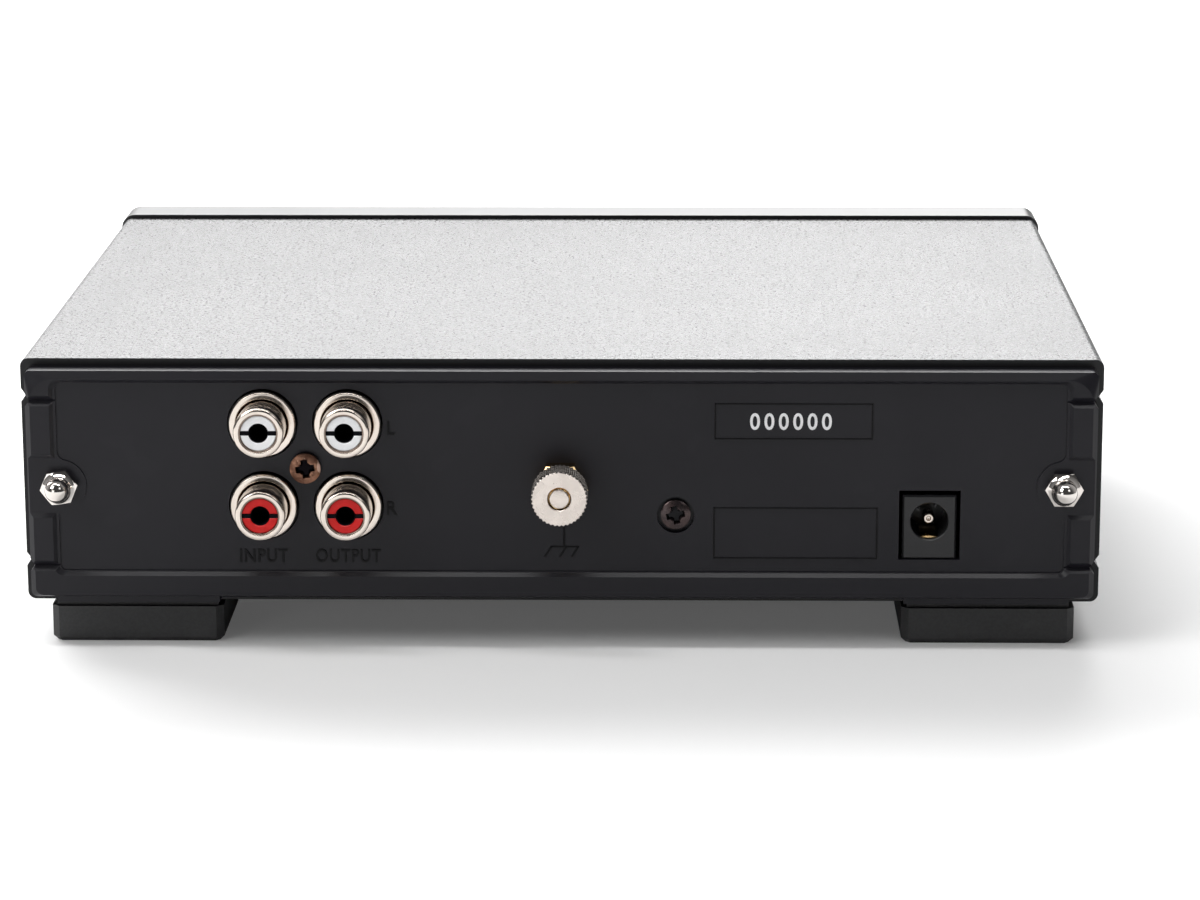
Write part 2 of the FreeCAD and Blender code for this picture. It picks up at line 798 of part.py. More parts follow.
def make_dome_nuts():
    """Two domed cap nuts on the rods, seated on the panel's round bosses."""
    for name, side, lean in (("dome_nut_left", "1 * ", "left_nut_lean"),
                             ("dome_nut_right", "-1 * ", "right_nut_lean")):
        body = new_body(name, side + "(rod_x)", "middle_face", "rod_z")
        hexagon = new_sketch(body, "XZ")
        add_hexagon(hexagon, "nut_flats", lean)
        pad(body, hexagon, "nut_height")
        rise = "dome_rise - dome_radius"
        points = [("0", "nut_height / 2"), ("dome_radius", "nut_height / 2"), ("dome_radius", rise),
                  ("dome_shoulder", "dome_rise - dome_shoulder_drop"), ("0", "dome_rise")]
        turn(body, points)
        hole = "nut_height + clearance_gap * 2"
        turn_cut(body, [("0", "0"), ("nut_hole", "0"), ("nut_hole", hole), ("0", hole)])


def make_fascia_inserts():
    """Brass hexagon inserts in the fascia's bosses, which the rods screw into."""
    body = new_body("fascia_inserts")
    sketch = new_sketch(body, "XZ", "0 - sleeve_length")
    for side in ("1 * ", "-1 * "):
        add_hexagon(sketch, "insert_flats", "0", side + "(rod_x)", "rod_z")
        add_circle(sketch, side + "(rod_x)", "rod_z", "nut_hole")
    pad(body, sketch, "insert_length", -1)


def make_feet():
    """Four wide feet: a block with a narrower neck, so that a dark line shows above it."""
    rear = "0 - foot_depth / 2"
    front = "foot_depth / 2 - sleeve_length"
    for name, side, along in (("foot_rear_left", "1 * ", rear), ("foot_rear_right", "-1 * ", rear),
                              ("foot_front_left", "1 * ", front),
                              ("foot_front_right", "-1 * ", front)):
        body = new_body(name, side + "(foot_x)", along)
        block = new_sketch(body, "XY")
        add_cut_box(block, "0 - foot_width / 2", "foot_width / 2",
                    "0 - foot_depth / 2", "foot_depth / 2", "foot_corner")
        pad(body, block, "foot_height - foot_neck")
        dress_edges(body, "Chamfer", "foot_edge", lambda edge: lies_at(edge, "Z", "0"))
        neck = new_sketch(body, "XY", "foot_height - foot_neck")
        add_box(neck, "foot_neck_inset - foot_width / 2", "foot_width / 2 - foot_neck_inset",
                "foot_neck_inset - foot_depth / 2", "foot_depth / 2 - foot_neck_inset")
        pad(body, neck, "foot_neck")


def make_board():
    """Main circuit board, held by its long edges in the sleeve's guides."""
    body = new_body("main_board", "0", "0", "board_foot")
    sketch = new_sketch(body, "XY")
    add_cut_box(sketch, "-1 * (board_half)", "board_half", "board_front",
                "0 - board_rear_gap", "board_corner")
    pad(body, sketch, "board_thickness")
    slots = new_sketch(body, "XY")
    for side in ("1", "-1"):
        middle = "(bracket_x + " + side + " * (bracket_width / 2 - bracket_tab_inset))"
        half = "(bracket_tab_width / 2 + thread_gap)"
        add_box(slots, middle + " - " + half, middle + " + " + half,
                "0 - bracket_foot - thread_gap", "bracket_thickness + thread_gap - bracket_foot")
    pocket(body, slots, "board_thickness", 1)


def make_bracket():
    """Bent steel bracket that ties the board's rear edge to the panel."""
    body = new_body("board_bracket", "bracket_x", "0", "board_top")
    height = "panel_screw_z - board_top + bracket_above"
    bend = "bracket_bend + bracket_thickness"
    sketch = new_sketch(body, "YZ")
    points = [
        ("0 - bracket_foot", "0"),
        ("0 - bracket_bend - bracket_thickness", "0"),
        ("0", bend),
        ("0", height),
        ("0 - bracket_thickness", height),
        ("0 - bracket_thickness", bend),
        ("0 - bracket_bend - bracket_thickness", "bracket_thickness"),
        ("0 - bracket_foot", "bracket_thickness"),
    ]
    add_loop(sketch, points)
    pad(body, sketch, "bracket_width", 1, True)
    upright = new_sketch(body, "XZ")
    add_circle(upright, "0", "panel_screw_z - board_top", "panel_screw_radius + thread_gap")
    pocket(body, upright, "bracket_thickness", -1)
    tabs = new_sketch(body, "XY")
    for side in ("1", "-1"):
        middle = "(" + side + " * (bracket_width / 2 - bracket_tab_inset))"
        add_box(tabs, middle + " - bracket_tab_width / 2", middle + " + bracket_tab_width / 2",
                "0 - bracket_foot", "bracket_thickness - bracket_foot")
    pad(body, tabs, "board_thickness + bracket_tab_reach", -1)


def screw_outline(head_radius, head_height, shank_radius, shank_length):
    """Half outline of a pan-head screw whose head stands on y = 0 and points along +y."""
    return [
        ("0", "-1 * (" + shank_length + ")"),
        (shank_radius, "-1 * (" + shank_length + ")"),
        (shank_radius, "0"),
        (head_radius, "0"),
        (head_radius, head_height),
        ("0", head_height),
    ]


def make_screws():
    """Copper screw into the socket block and black screw into the board's bracket."""
    block = new_body("socket_block_screw", "block_screw_x", "field_face", "block_screw_z")
    turn(block, screw_outline("block_head_radius", "block_head_height",
                              "block_screw_radius", "block_screw_length"))
    panel = new_body("panel_screw", "bracket_x", "field_face - panel_well_depth", "panel_screw_z")
    turn(panel, screw_outline("panel_head_radius", "panel_head_height",
                              "panel_screw_radius", "panel_screw_length"))


def make_socket_block():
    """Moulded block behind the panel that carries the four sockets and stands on the board."""
    body = new_body("socket_block")
    sketch = new_sketch(body, "XZ")
    add_box(sketch, "socket_second_x - block_margin", "socket_first_x + block_margin",
            "board_top", "socket_high + block_margin")
    pad(body, sketch, "block_depth", -1)
    dress_edges(body, "Chamfer", "block_edge", lambda edge: lies_at(edge, "Y", "0 - block_depth"))
    holes = new_sketch(body, "XZ")
    width = "(contact_width / 2 + thread_gap)"
    height = "(contact_thickness / 2 + thread_gap)"
    for x in ("socket_first_x", "(socket_second_x)"):
        for z in ("(socket_low)", "(socket_high)"):
            add_box(holes, x + " - " + width, x + " + " + width,
                    z + " - " + height, z + " + " + height)
    add_circle(holes, "block_screw_x", "block_screw_z", "block_screw_radius + thread_gap")
    pocket(body, holes, "block_depth", -1)


def make_sockets():
    """Four phono sockets, each a turned shell, a slotted insulator and a centre contact."""
    columns = (("input", "socket_first_x"), ("output", "socket_second_x"))
    rows = (("left", "socket_high"), ("right", "socket_low"))
    for column, x in columns:
        for row, z in rows:
            make_shell("%s_%s_shell" % (column, row), x, z)
            make_insulator("%s_%s_insulator" % (column, row), x, z)
            make_contact("%s_%s_contact" % (column, row), x, z)


def make_shell(name, x, z):
    """Turned socket shell: a collar on the block, through the panel, and the plug's barrel."""
    body = new_body(name, x, "0", z)
    points = [
        ("shell_bore", "0"),
        ("flange_radius", "0"),
        ("flange_radius", "flange_height"),
        ("barrel_radius", "flange_height"),
        ("barrel_radius", "barrel_face"),
        ("shell_bore", "barrel_face"),
    ]
    turn(body, points)


def make_insulator(name, x, z):
    """Insulator in the shell, with the plug's hole and one level slot."""
    body = new_body(name, x, "0", z)
    radius = "shell_bore - thread_gap"
    points = [
        ("pin_bore_radius", "0"),
        (radius, "0"),
        (radius, "insulator_face"),
        ("pin_bore_radius", "insulator_face"),
    ]
    turn(body, points)
    slot = new_sketch(body, "XZ", "insulator_face")
    add_box(slot, "0 - shell_bore", "shell_bore", "0 - insulator_slot / 2", "insulator_slot / 2")
    pocket(body, slot, "insulator_slot_depth", -1)


def make_contact(name, x, z):
    """Centre contact: a flat blade through the block, with its end at the foot of the hole."""
    body = new_body(name, x, "0", z)
    blade = new_sketch(body, "XZ")
    add_box(blade, "0 - contact_width / 2", "contact_width / 2",
            "0 - contact_thickness / 2", "contact_thickness / 2")
    pad(body, blade, "block_depth + contact_tail", -1)


def make_ground_terminal():
    """Ground terminal: stud, base nut, inner nut and strap, with washer and thumb nut outside."""
    stud = new_body("ground_stud", "ground_x", "0", "rod_z")
    tail = "0 - strap_thickness - inner_nut_height - stud_tail"
    face = "ground_face"
    turn(stud, [("0", tail), ("stud_radius", tail), ("stud_radius", face), ("0", face)])
    make_hex_nut("ground_base_nut", "field_face", "base_nut_flats", "base_nut_height")
    make_hex_nut("ground_inner_nut", "0 - strap_thickness - inner_nut_height",
                 "inner_nut_flats", "inner_nut_height")
    make_strap()
    washer = new_body("ground_clamp_washer", "ground_x", "base_nut_face", "rod_z")
    hole = "stud_radius + washer_gap"
    turn(washer, [(hole, "0"), ("washer_radius", "0"), ("washer_radius", "washer_height"),
                  (hole, "washer_height")])
    thumb = new_body("ground_thumb_nut", "ground_x", "washer_face", "rod_z")
    bore = "stud_radius + running_gap"
    turn(thumb, [(bore, "0"), ("thumb_radius", "0"), ("thumb_radius", "thumb_height"),
                 (bore, "thumb_height")])


def make_hex_nut(name, seat, flats, height):
    """Plain hexagon nut on the ground stud."""
    body = new_body(name, "ground_x", seat, "rod_z")
    sketch = new_sketch(body, "XZ")
    add_hexagon(sketch, flats)
    add_circle(sketch, "0", "0", "stud_radius + thread_gap")
    pad(body, sketch, height)


def make_strap():
    """Bent strap from the ground stud down to the board."""
    body = new_body("ground_strap", "ground_x", "0", "board_top")
    height = "rod_z - board_top + strap_width / 2"
    sketch = new_sketch(body, "YZ")
    points = [
        ("0 - strap_foot", "0"),
        ("0", "0"),
        ("0", height),
        ("0 - strap_thickness", height),
        ("0 - strap_thickness", "strap_thickness"),
        ("0 - strap_foot", "strap_thickness"),
    ]
    add_loop(sketch, points)
    pad(body, sketch, "strap_width", 1, True)
    hole = new_sketch(body, "XZ")
    add_circle(hole, "0", "rod_z - board_top", "stud_radius + thread_gap")
    pocket(body, hole, "strap_thickness", -1)


def make_inlet():
    """Low-voltage barrel inlet on the board: housing, centre pin and leaf contact."""
    body = new_body("power_inlet_housing", "inlet_x", "inlet_face", "board_top")
    block = new_sketch(body, "XZ")
    add_box(block, "0 - inlet_width / 2", "inlet_width / 2", "0", "inlet_height")
    pad(body, block, "inlet_depth", -1)
    dress_edges(body, "Chamfer", "inlet_edge",
                lambda edge: is_upright(edge) and lies_at(edge, "Y", "0"))
    bore = new_sketch(body, "XZ")
    add_circle(bore, "0", "inlet_axis_rise", "inlet_bore_radius")
    pocket(body, bore, "inlet_bore_depth", -1)
    pin_hole = new_sketch(body, "XZ")
    add_circle(pin_hole, "0", "inlet_axis_rise", "inlet_pin_radius + thread_gap")
    pocket(body, pin_hole, "inlet_depth", -1)
    slot = new_sketch(body, "XZ")
    half = "(leaf_width / 2 + leaf_side_gap)"
    add_box(slot, "-1 * " + half, half, "inlet_axis_rise - inlet_bore_radius - leaf_slot_depth",
            "inlet_axis_rise - inlet_pin_radius - thread_gap")
    pocket(body, slot, "inlet_bore_depth", -1)
    pin = new_body("power_inlet_pin", "inlet_x", "inlet_face", "inlet_z")
    tip = "0 - inlet_pin_setback"
    tail = "0 - inlet_depth - inlet_pin_tail"
    turn(pin, [("0", tail), ("inlet_pin_radius", tail), ("inlet_pin_radius", tip), ("0", tip)])
    make_leaf()


def make_leaf():
    """Bowed leaf contact in the floor of the inlet's bore."""
    body = new_body("power_inlet_leaf", "inlet_x", "inlet_face",
                    "inlet_z - inlet_bore_radius - leaf_slot_depth")
    sketch = new_sketch(body, "YZ")
    front = "0 - leaf_setback"
    middle = "0 - leaf_setback - leaf_length / 2"
    back = "0 - leaf_setback - leaf_length"
    lift = "leaf_slot_depth + leaf_lift - leaf_thickness"
    points = [(back, "0"), (middle, lift), (front, "0"), (front, "leaf_thickness"),
              (middle, lift + " + leaf_thickness"), (back, "leaf_thickness")]
    add_loop(sketch, points)
    pad(body, sketch, "leaf_width", 1, True)


def make_button():
    """Round push button through the fascia, with a collar that stops it from falling out."""
    body = new_body("power_button", "button_x", "0", "button_z")
    front = "fascia_front - button_proud"
    collar = "button_radius + button_collar"
    points = [
        ("0", front),
        ("button_radius", front),
        ("button_radius", "collar_front"),
        (collar, "collar_front"),
        (collar, "button_back"),
        ("0", "button_back"),
    ]
    turn(body, points)
    socket = new_sketch(body, "XZ", "button_back")
    half = "plunger_width / 2 + thread_gap"
    low = "0 - plunger_width / 2 - thread_gap"
    add_box(socket, low, half, low, half)
    pocket(body, socket, "plunger_socket", -1)
    plunger = new_body("switch_plunger", "button_x", "0", "button_z")
    rod = new_sketch(plunger, "XZ", "button_back - plunger_socket")
    add_box(rod, "0 - plunger_width / 2", "plunger_width / 2", "0 - plunger_width / 2",
            "plunger_width / 2")
    pad(plunger, rod, "plunger_socket + button_travel + switch_front_gap + plunger_grip")


def make_switch():
    """Push switch on the board's front edge, open in front for its plunger."""
    body = new_body("switch_body", "button_x", "0", "board_top")
    sketch = new_sketch(body, "XZ", "switch_front")
    add_box(sketch, "0 - switch_width / 2", "switch_width / 2", "0",
            "button_z - board_top + switch_above")
    pad(body, sketch, "switch_depth")
    dress_edges(body, "Chamfer", "switch_edge", lambda edge: lies_at(edge, "Y", "switch_back"))
    socket = new_sketch(body, "XZ", "switch_front")
    half = "plunger_width / 2 + plunger_gap"
    low = "0 - plunger_width / 2 - plunger_gap"
    rise = "button_z - board_top"
    add_box(socket, low, half, rise + " - plunger_width / 2 - plunger_gap", rise + " + " + half)
    pocket(body, socket, "plunger_grip + button_travel + switch_front_gap", 1)


def make_indicator():
    """Indicator lens in the fascia and the lamp behind it on bent leads."""
    lens = new_body("indicator_lens", "indicator_x", "0", "button_z")
    disc = new_sketch(lens, "XZ", "fascia_front")
    add_circle(disc, "0", "0", "lens_radius")
    pad(lens, disc, "fascia_wall + lens_tail")
    back = "fascia_inner + lens_tail + led_lens_gap"
    lamp = new_body("indicator_lamp", "indicator_x", "0", "button_z")
    case = new_sketch(lamp, "XZ", back)
    add_circle(case, "0", "0", "led_radius")
    pad(lamp, case, "led_length")
    for side in ("1", "-1"):
        leads = new_sketch(lamp, "YZ", side + " * led_lead_half_pitch / 2")
        start = back + " + led_length - led_lead"
        end = "board_front + led_lead * 6"
        drop = "board_top - (button_z)"
        points = [(start, "0 - led_lead / 2"), (end, "0 - led_lead / 2"), (end, drop),
                  (end + " + led_lead", drop), (end + " + led_lead", "led_lead / 2"),
                  (start, "led_lead / 2")]
        add_loop(leads, points)
        pad(lamp, leads, "led_lead", 1, True)


def make_capacitors():
    """Two smoothing capacitors, standing on the board beside the inlet."""
    for number in range(2):
        y = "capacitor_y - %d * capacitor_pitch" % number
        body = new_body("smoothing_capacitor_%d" % (number + 1), "capacitor_x", y, "board_top")
        disc = new_sketch(body, "XY")
        add_circle(disc, "0", "0", "capacitor_radius")
        pad(body, disc, "capacitor_height")


def make_rectifier():
    """Bridge rectifier with four legs."""
    body = new_body("rectifier", "rectifier_x", "rectifier_y", "board_top")
    block = new_sketch(body, "XY", "chip_lift")
    add_box(block, "0 - rectifier_width / 2", "rectifier_width / 2",
            "0 - rectifier_depth / 2", "rectifier_depth / 2")
    pad(body, block, "rectifier_height")
    legs = new_sketch(body, "XY")
    for x in ("rectifier_width / 4", "0 - rectifier_width / 4"):
        for y in ("rectifier_depth / 4", "0 - rectifier_depth / 4"):
            add_box(legs, x + " - chip_lead / 2", x + " + chip_lead / 2",
                    y + " - chip_lead / 2", y + " + chip_lead / 2")
    pad(body, legs, "chip_lift + chip_lead")


def make_heat_sink():
    """Finned heat sink standing on the board, with the regulators on its flat side."""
    body = new_body("heat_sink", "sink_x", "sink_y", "board_top")
    base = new_sketch(body, "XY")
    add_box(base, "0", "sink_base", "0 - sink_length / 2", "sink_length / 2")
    pad(body, base, "sink_height")
    fin = new_sketch(body, "XY")
    first = "0 - sink_fin_pitch * (sink_fin_count - 1) / 2"
    add_box(fin, "sink_base / 2", "sink_base + sink_fin_reach",
            first + " - sink_fin / 2", first + " + sink_fin / 2")
    ridge = pad(body, fin, "sink_height")
    rows = body.newObject("PartDesign::LinearPattern", "sink_fins")
    rows.Originals = [ridge]
    rows.Direction = (fin, ["V_Axis"])
    rows.setExpression("Length", refer("sink_fin_pitch * (sink_fin_count - 1)"))
    rows.setExpression("Occurrences", refer("sink_fin_count"))
    body.Tip = rows


def make_regulators():
    """Two voltage regulators on the heat sink's flat side."""
    for name, side in (("regulator_positive", "1"), ("regulator_negative", "-1")):
        along = "sink_y + " + side + " * regulator_half_pitch"
        body = new_body(name, "sink_x", along, "board_top")
        tab = new_sketch(body, "XY", "regulator_lead_height")
        add_box(tab, "0 - regulator_tab", "0", "0 - regulator_width / 2", "regulator_width / 2")
        pad(body, tab, "regulator_tab_height")
        case = new_sketch(body, "XY", "regulator_lead_height")
        add_box(case, "0 - regulator_tab - regulator_body", "0 - regulator_tab / 2",
                "0 - regulator_width / 2", "regulator_width / 2")
        pad(body, case, "regulator_body_height")
        legs = new_sketch(body, "XY")
        middle = "0 - regulator_tab - regulator_body / 2"
        for pitch in ("0 - regulator_lead_pitch", "0", "regulator_lead_pitch"):
            add_box(legs, middle + " - regulator_lead / 2", middle + " + regulator_lead / 2",
                    pitch + " - regulator_lead / 2", pitch + " + regulator_lead / 2")
        pad(body, legs, "regulator_lead_height + regulator_lead")


def make_chips():
    """Two eight-legged amplifier chips, one for each channel."""
    for name, x in (("amplifier_left", "chip_left_x"), ("amplifier_right", "chip_right_x")):
        body = new_body(name, x, "chip_y", "board_top")
        case = new_sketch(body, "XY", "chip_lift")
        add_box(case, "0 - chip_width / 2", "chip_width / 2", "0 - chip_length / 2",
                "chip_length / 2")
        pad(body, case, "chip_height")
        legs = new_sketch(body, "XY")
        for side in ("1", "-1"):
            for place in ("-1.5", "-0.5", "0.5", "1.5"):
                inner = side + " * (chip_width / 2 - chip_lead)"
                outer = side + " * (chip_width / 2 + chip_lead)"
                near = place + " * chip_lead_pitch - chip_lead / 2"
                far = place + " * chip_lead_pitch + chip_lead / 2"
                add_box(legs, inner, outer, near, far)
        pad(body, legs, "chip_lift + chip_height / 2")


def make_film_capacitors():
    """Two box-shaped film capacitors, one beside each channel's sockets."""
    for name, x in (("film_capacitor_left", "chip_left_x"),
                    ("film_capacitor_right", "chip_right_x")):
        body = new_body(name, x, "film_y", "board_top")
        add_cased_block(body, "film_width", "film_length", "film_height", "film_edge")


def make_relay():
    """Muting relay in a rounded cover."""
    body = new_body("mute_relay", "relay_x", "relay_y", "board_top")
    add_cased_block(body, "relay_width", "relay_length", "relay_height", "relay_edge")


def add_cased_block(body, width, length, height, edge):
    """Block with cut upright edges and a chamfered top, standing on z = 0."""
    sketch = new_sketch(body, "XY")
    half = width + " / 2"
    reach = length + " / 2"
    add_cut_box(sketch, "0 - " + half, half, "0 - " + reach, reach, edge)
    pad(body, sketch, height)
    dress_edges(body, "Chamfer", edge + " / 2", lambda found: lies_at(found, "Z", height))


def check_cuts(body):
    """Stop if a cut or groove took nothing away."""
    before = None
    for feature in body.Group:
        if not feature.isDerivedFrom("PartDesign::Feature"):
            continue
        volume = feature.Shape.Volume
        cuts = feature.TypeId in ("PartDesign::Pocket", "PartDesign::Groove",
                                  "PartDesign::SubtractiveLoft")
        if cuts and before - volume < 1e-6:
            raise RuntimeError("%s cuts nothing" % feature.Name)
        before = volume


def check_document():
    """Stop if an object failed, or a sub-part has no sound solid."""
    for item in doc.Objects:
        if "Invalid" in item.State or "Error" in item.State:
            raise RuntimeError("%s failed: %s" % (item.Name, item.State))
    for body in parts:
        if body.Shape.isNull() or not body.Shape.isValid() or not body.Shape.Solids:
            raise RuntimeError("%s has no sound shape" % body.Label)
        check_cuts(body)


def write_parts():
    """Write each sub-part to a file named after it."""
    os.makedirs("parts", exist_ok=True)
    for body in parts:
        body.Shape.exportStep("parts/%s.step" % body.Label)
        print("%-26s %d solid(s) %10.2f mm3" % (body.Label, len(body.Shape.Solids), body.Shape.Volume))


fill_sheet()
make_sleeve()
make_rear_panel()
make_fascia()
make_tie_rods()
make_dome_nuts()
make_fascia_inserts()
make_feet()
make_board()
make_bracket()
make_screws()
make_socket_block()
make_sockets()
make_ground_terminal()
make_inlet()
make_button()
make_switch()
make_indicator()
make_capacitors()
make_rectifier()
make_heat_sink()
make_regulators()
make_chips()
make_film_capacitors()
make_relay()
doc.recompute()
check_document()
write_parts()
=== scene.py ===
"""Looks of a small phono preamp, seen from behind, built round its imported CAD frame.

Everything is in metres in the row frame: the rear panel faces +Y, up is +Z, and the
photograph's left side is +X. The pieces' own sizes are in millimetres, and each piece
rides on the CAD body that carries it.
"""

import json
import logging
import math
from collections.abc import Callable, Iterable, Sequence
from dataclasses import dataclass, field, replace
from enum import Enum

import bmesh
import bpy
from mathutils import Matrix, Vector


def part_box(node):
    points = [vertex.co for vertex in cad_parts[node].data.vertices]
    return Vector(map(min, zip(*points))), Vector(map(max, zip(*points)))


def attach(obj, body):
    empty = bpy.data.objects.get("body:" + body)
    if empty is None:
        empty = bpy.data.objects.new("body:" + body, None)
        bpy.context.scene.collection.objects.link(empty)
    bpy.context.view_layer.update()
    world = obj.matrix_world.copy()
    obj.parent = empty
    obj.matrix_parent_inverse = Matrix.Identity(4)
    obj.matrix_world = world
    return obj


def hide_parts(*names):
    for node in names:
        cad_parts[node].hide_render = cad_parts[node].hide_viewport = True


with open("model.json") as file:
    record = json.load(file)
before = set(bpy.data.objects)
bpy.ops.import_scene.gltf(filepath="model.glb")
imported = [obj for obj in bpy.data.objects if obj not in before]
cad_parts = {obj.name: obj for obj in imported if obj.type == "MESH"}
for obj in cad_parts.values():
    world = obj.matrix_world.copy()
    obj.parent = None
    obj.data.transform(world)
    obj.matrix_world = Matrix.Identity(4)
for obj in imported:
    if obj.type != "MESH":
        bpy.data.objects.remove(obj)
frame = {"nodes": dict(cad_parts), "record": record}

LOG = logging.getLogger("preamp")
MM = 0.001
TURN_STEPS = 96
MERGE_DISTANCE = 1e-7
TINY = 1e-9
# Vertex mask of painted shade: where it is set, a finish's colour is darkened as shade would darken it.
PAINTED_SHADE = "soot"
WHITE = (1.0, 1.0, 1.0)
SHARP_ANGLE = math.radians(32)
EDGE_PROFILE = 0.6
HEXAGON_STEPS = 72
CONE_SHARE = 0.985
MARK_RELIEF = 0.22
SIDE_SHARE = 0.45
SPECK_RANGE = (0.42, 0.58)
DRIFT_RANGE = (0.3, 0.7)
DRIFT_SHADE = 0.86
RUB_GAIN = 1.35
RUB_LIFT = 0.01
HAIR_LIMIT = 0.66
DUST_LIMIT = 0.74
HAIR_TURN = (0.3, 0.5, 0.7)
HAIR_STRETCH = (1.0, 0.06, 1.0)
DUST_SCALE = 14.0

Tree = bpy.types.NodeTree
Node = bpy.types.Node
Socket = bpy.types.NodeSocket
Shape = bmesh.types.BMesh
Ring = list[bmesh.types.BMVert]
Colour = tuple[float, float, float]
Profile = Sequence[tuple[float, float]]
RoundSize = float | Callable[[float], float]


class Body(str, Enum):
    """The CAD bodies that pieces ride on."""

    CASE = "case"
    BUTTON = "power_button"
    NUT = "ground_nut"


class Recess(Enum):
    """The driver recess in a screw head."""

    CROSS = "cross"
    CROSS_WITH_TICKS = "cross with ticks"


class MixKind(Enum):
    """What a Mix node blends, with the places of its two inputs and its result."""

    FLOAT = (2, 3, 0)
    RGBA = (6, 7, 2)


# Nodes that the materials and the knurl share


def feed(tree: Tree, socket: Socket, given: object) -> None:
    """Wires an input to another socket, or sets it to a plain value.

    Args:
        tree: The node tree.
        socket: The input to feed.
        given: A socket, a number, a vector, a material, or a colour's three channels.
    """
    if isinstance(given, Socket):
        tree.links.new(given, socket)
    elif socket.type == "RGBA":
        socket.default_value = (*given, 1.0)
    else:
        socket.default_value = given


def add_node(tree: Tree, kind: str, inputs: dict[str | int, object]) -> Node:
    """Adds a node and feeds its inputs.

    Args:
        tree: The node tree.
        kind: The node's type.
        inputs: What each input gets, by the input's name or its place.

    Returns:
        The node.
    """
    node = tree.nodes.new(kind)
    for label, given in inputs.items():
        feed(tree, node.inputs[label], given)
    return node


def math_node(
    tree: Tree, operation: str, first: Socket | float, second: Socket | float, clamp: bool = False
) -> Socket:
    """Adds a Math node.

    Args:
        tree: The node tree.
        operation: The node's operation.
        first: A socket or a number.
        second: A socket or a number.
        clamp: Whether the result is held between 0 and 1.

    Returns:
        The result socket.
    """
    node = add_node(tree, "ShaderNodeMath", {0: first, 1: second})
    node.operation = operation
    node.use_clamp = clamp
    return node.outputs[0]


def mix_node(tree: Tree, kind: MixKind, share: Socket, first: object, second: object) -> Socket:
    """Adds a Mix node.

    Args:
        tree: The node tree.
        kind: Whether it blends numbers or colours.
        share: The socket that drives the mix.
        first: A socket or a value, for a share of 0.
        second: A socket or a value, for a share of 1.

    Returns:
        The result socket.
    """
    node = add_node(tree, "ShaderNodeMix", {"Factor": share})
    node.data_type = kind.name
    first_place, second_place, result = kind.value
    feed(tree, node.inputs[first_place], first)
    feed(tree, node.inputs[second_place], second)
    return node.outputs[result]


def spread_node(tree: Tree, value: Socket, low: float, high: float) -> Socket:
    """Adds a Map Range node that spreads one range over 0 to 1.

    Args:
        tree: The node tree.
        value: The socket to spread.
        low: What becomes 0.
        high: What becomes 1.

    Returns:
        The result socket.
    """
    node = add_node(tree, "ShaderNodeMapRange", {"Value": value, "From Min": low, "From Max": high})
    return node.outputs["Result"]


def new_group(name: str, numbers: dict[str, float], masks: Sequence[str]) -> tuple[Tree, Node, Node]:
    """Starts a shader node group that reads a Vector.

    Args:
        name: The group's name.
        numbers: Each number it takes, with its default.
        masks: The numbers it puts out, which change over the surface.

    Returns:
        The tree, its input node and its output node.
    """
    tree = bpy.data.node_groups.new(name, "ShaderNodeTree")
    tree.interface.new_socket(name="Vector", in_out="INPUT", socket_type="NodeSocketVector")
    for label, default in numbers.items():
        socket = tree.interface.new_socket(name=label, in_out="INPUT", socket_type="NodeSocketFloat")
        socket.default_value = default
    for label in masks:
        tree.interface.new_socket(name=label, in_out="OUTPUT", socket_type="NodeSocketFloat")
    return tree, tree.nodes.new("NodeGroupInput"), tree.nodes.new("NodeGroupOutput")


def fine_grain_group() -> Tree:
    """A moulded or powder-coated surface: small rounded lumps with pits between them.

    Returns:
        The group, with the height of the grain and a mask of its lumps.
    """
    tree, given, out = new_group("fine_grain", {"Scale": 2500.0, "Pits": 0.4}, ("Height", "Speck"))
    place = {label: given.outputs[label] for label in ("Vector", "Scale")}
    lumps = add_node(tree, "ShaderNodeTexNoise", {**place, "Detail": 3.0, "Roughness": 0.55})
    cells = add_node(tree, "ShaderNodeTexVoronoi", place)
    cells.feature = "SMOOTH_F1"
    dips = math_node(tree, "MULTIPLY", cells.outputs["Distance"], given.outputs["Pits"])
    feed(tree, out.inputs["Height"], math_node(tree, "SUBTRACT", lumps.outputs["Fac"], dips))
    feed(tree, out.inputs["Speck"], spread_node(tree, lumps.outputs["Fac"], *SPECK_RANGE))
    return tree


def tone_drift_group() -> Tree:
    """Slow changes of tone across a part, as handling and moulding leave.

    Returns:
        The group, with a mask that drifts.
    """
    tree, given, out = new_group("tone_drift", {"Scale": 25.0}, ("Drift",))
    place = {label: given.outputs[label] for label in ("Vector", "Scale")}
    cloud = add_node(tree, "ShaderNodeTexNoise", {**place, "Detail": 4.0, "Distortion": 0.6})
    feed(tree, out.inputs["Drift"], spread_node(tree, cloud.outputs["Fac"], *DRIFT_RANGE))
    return tree


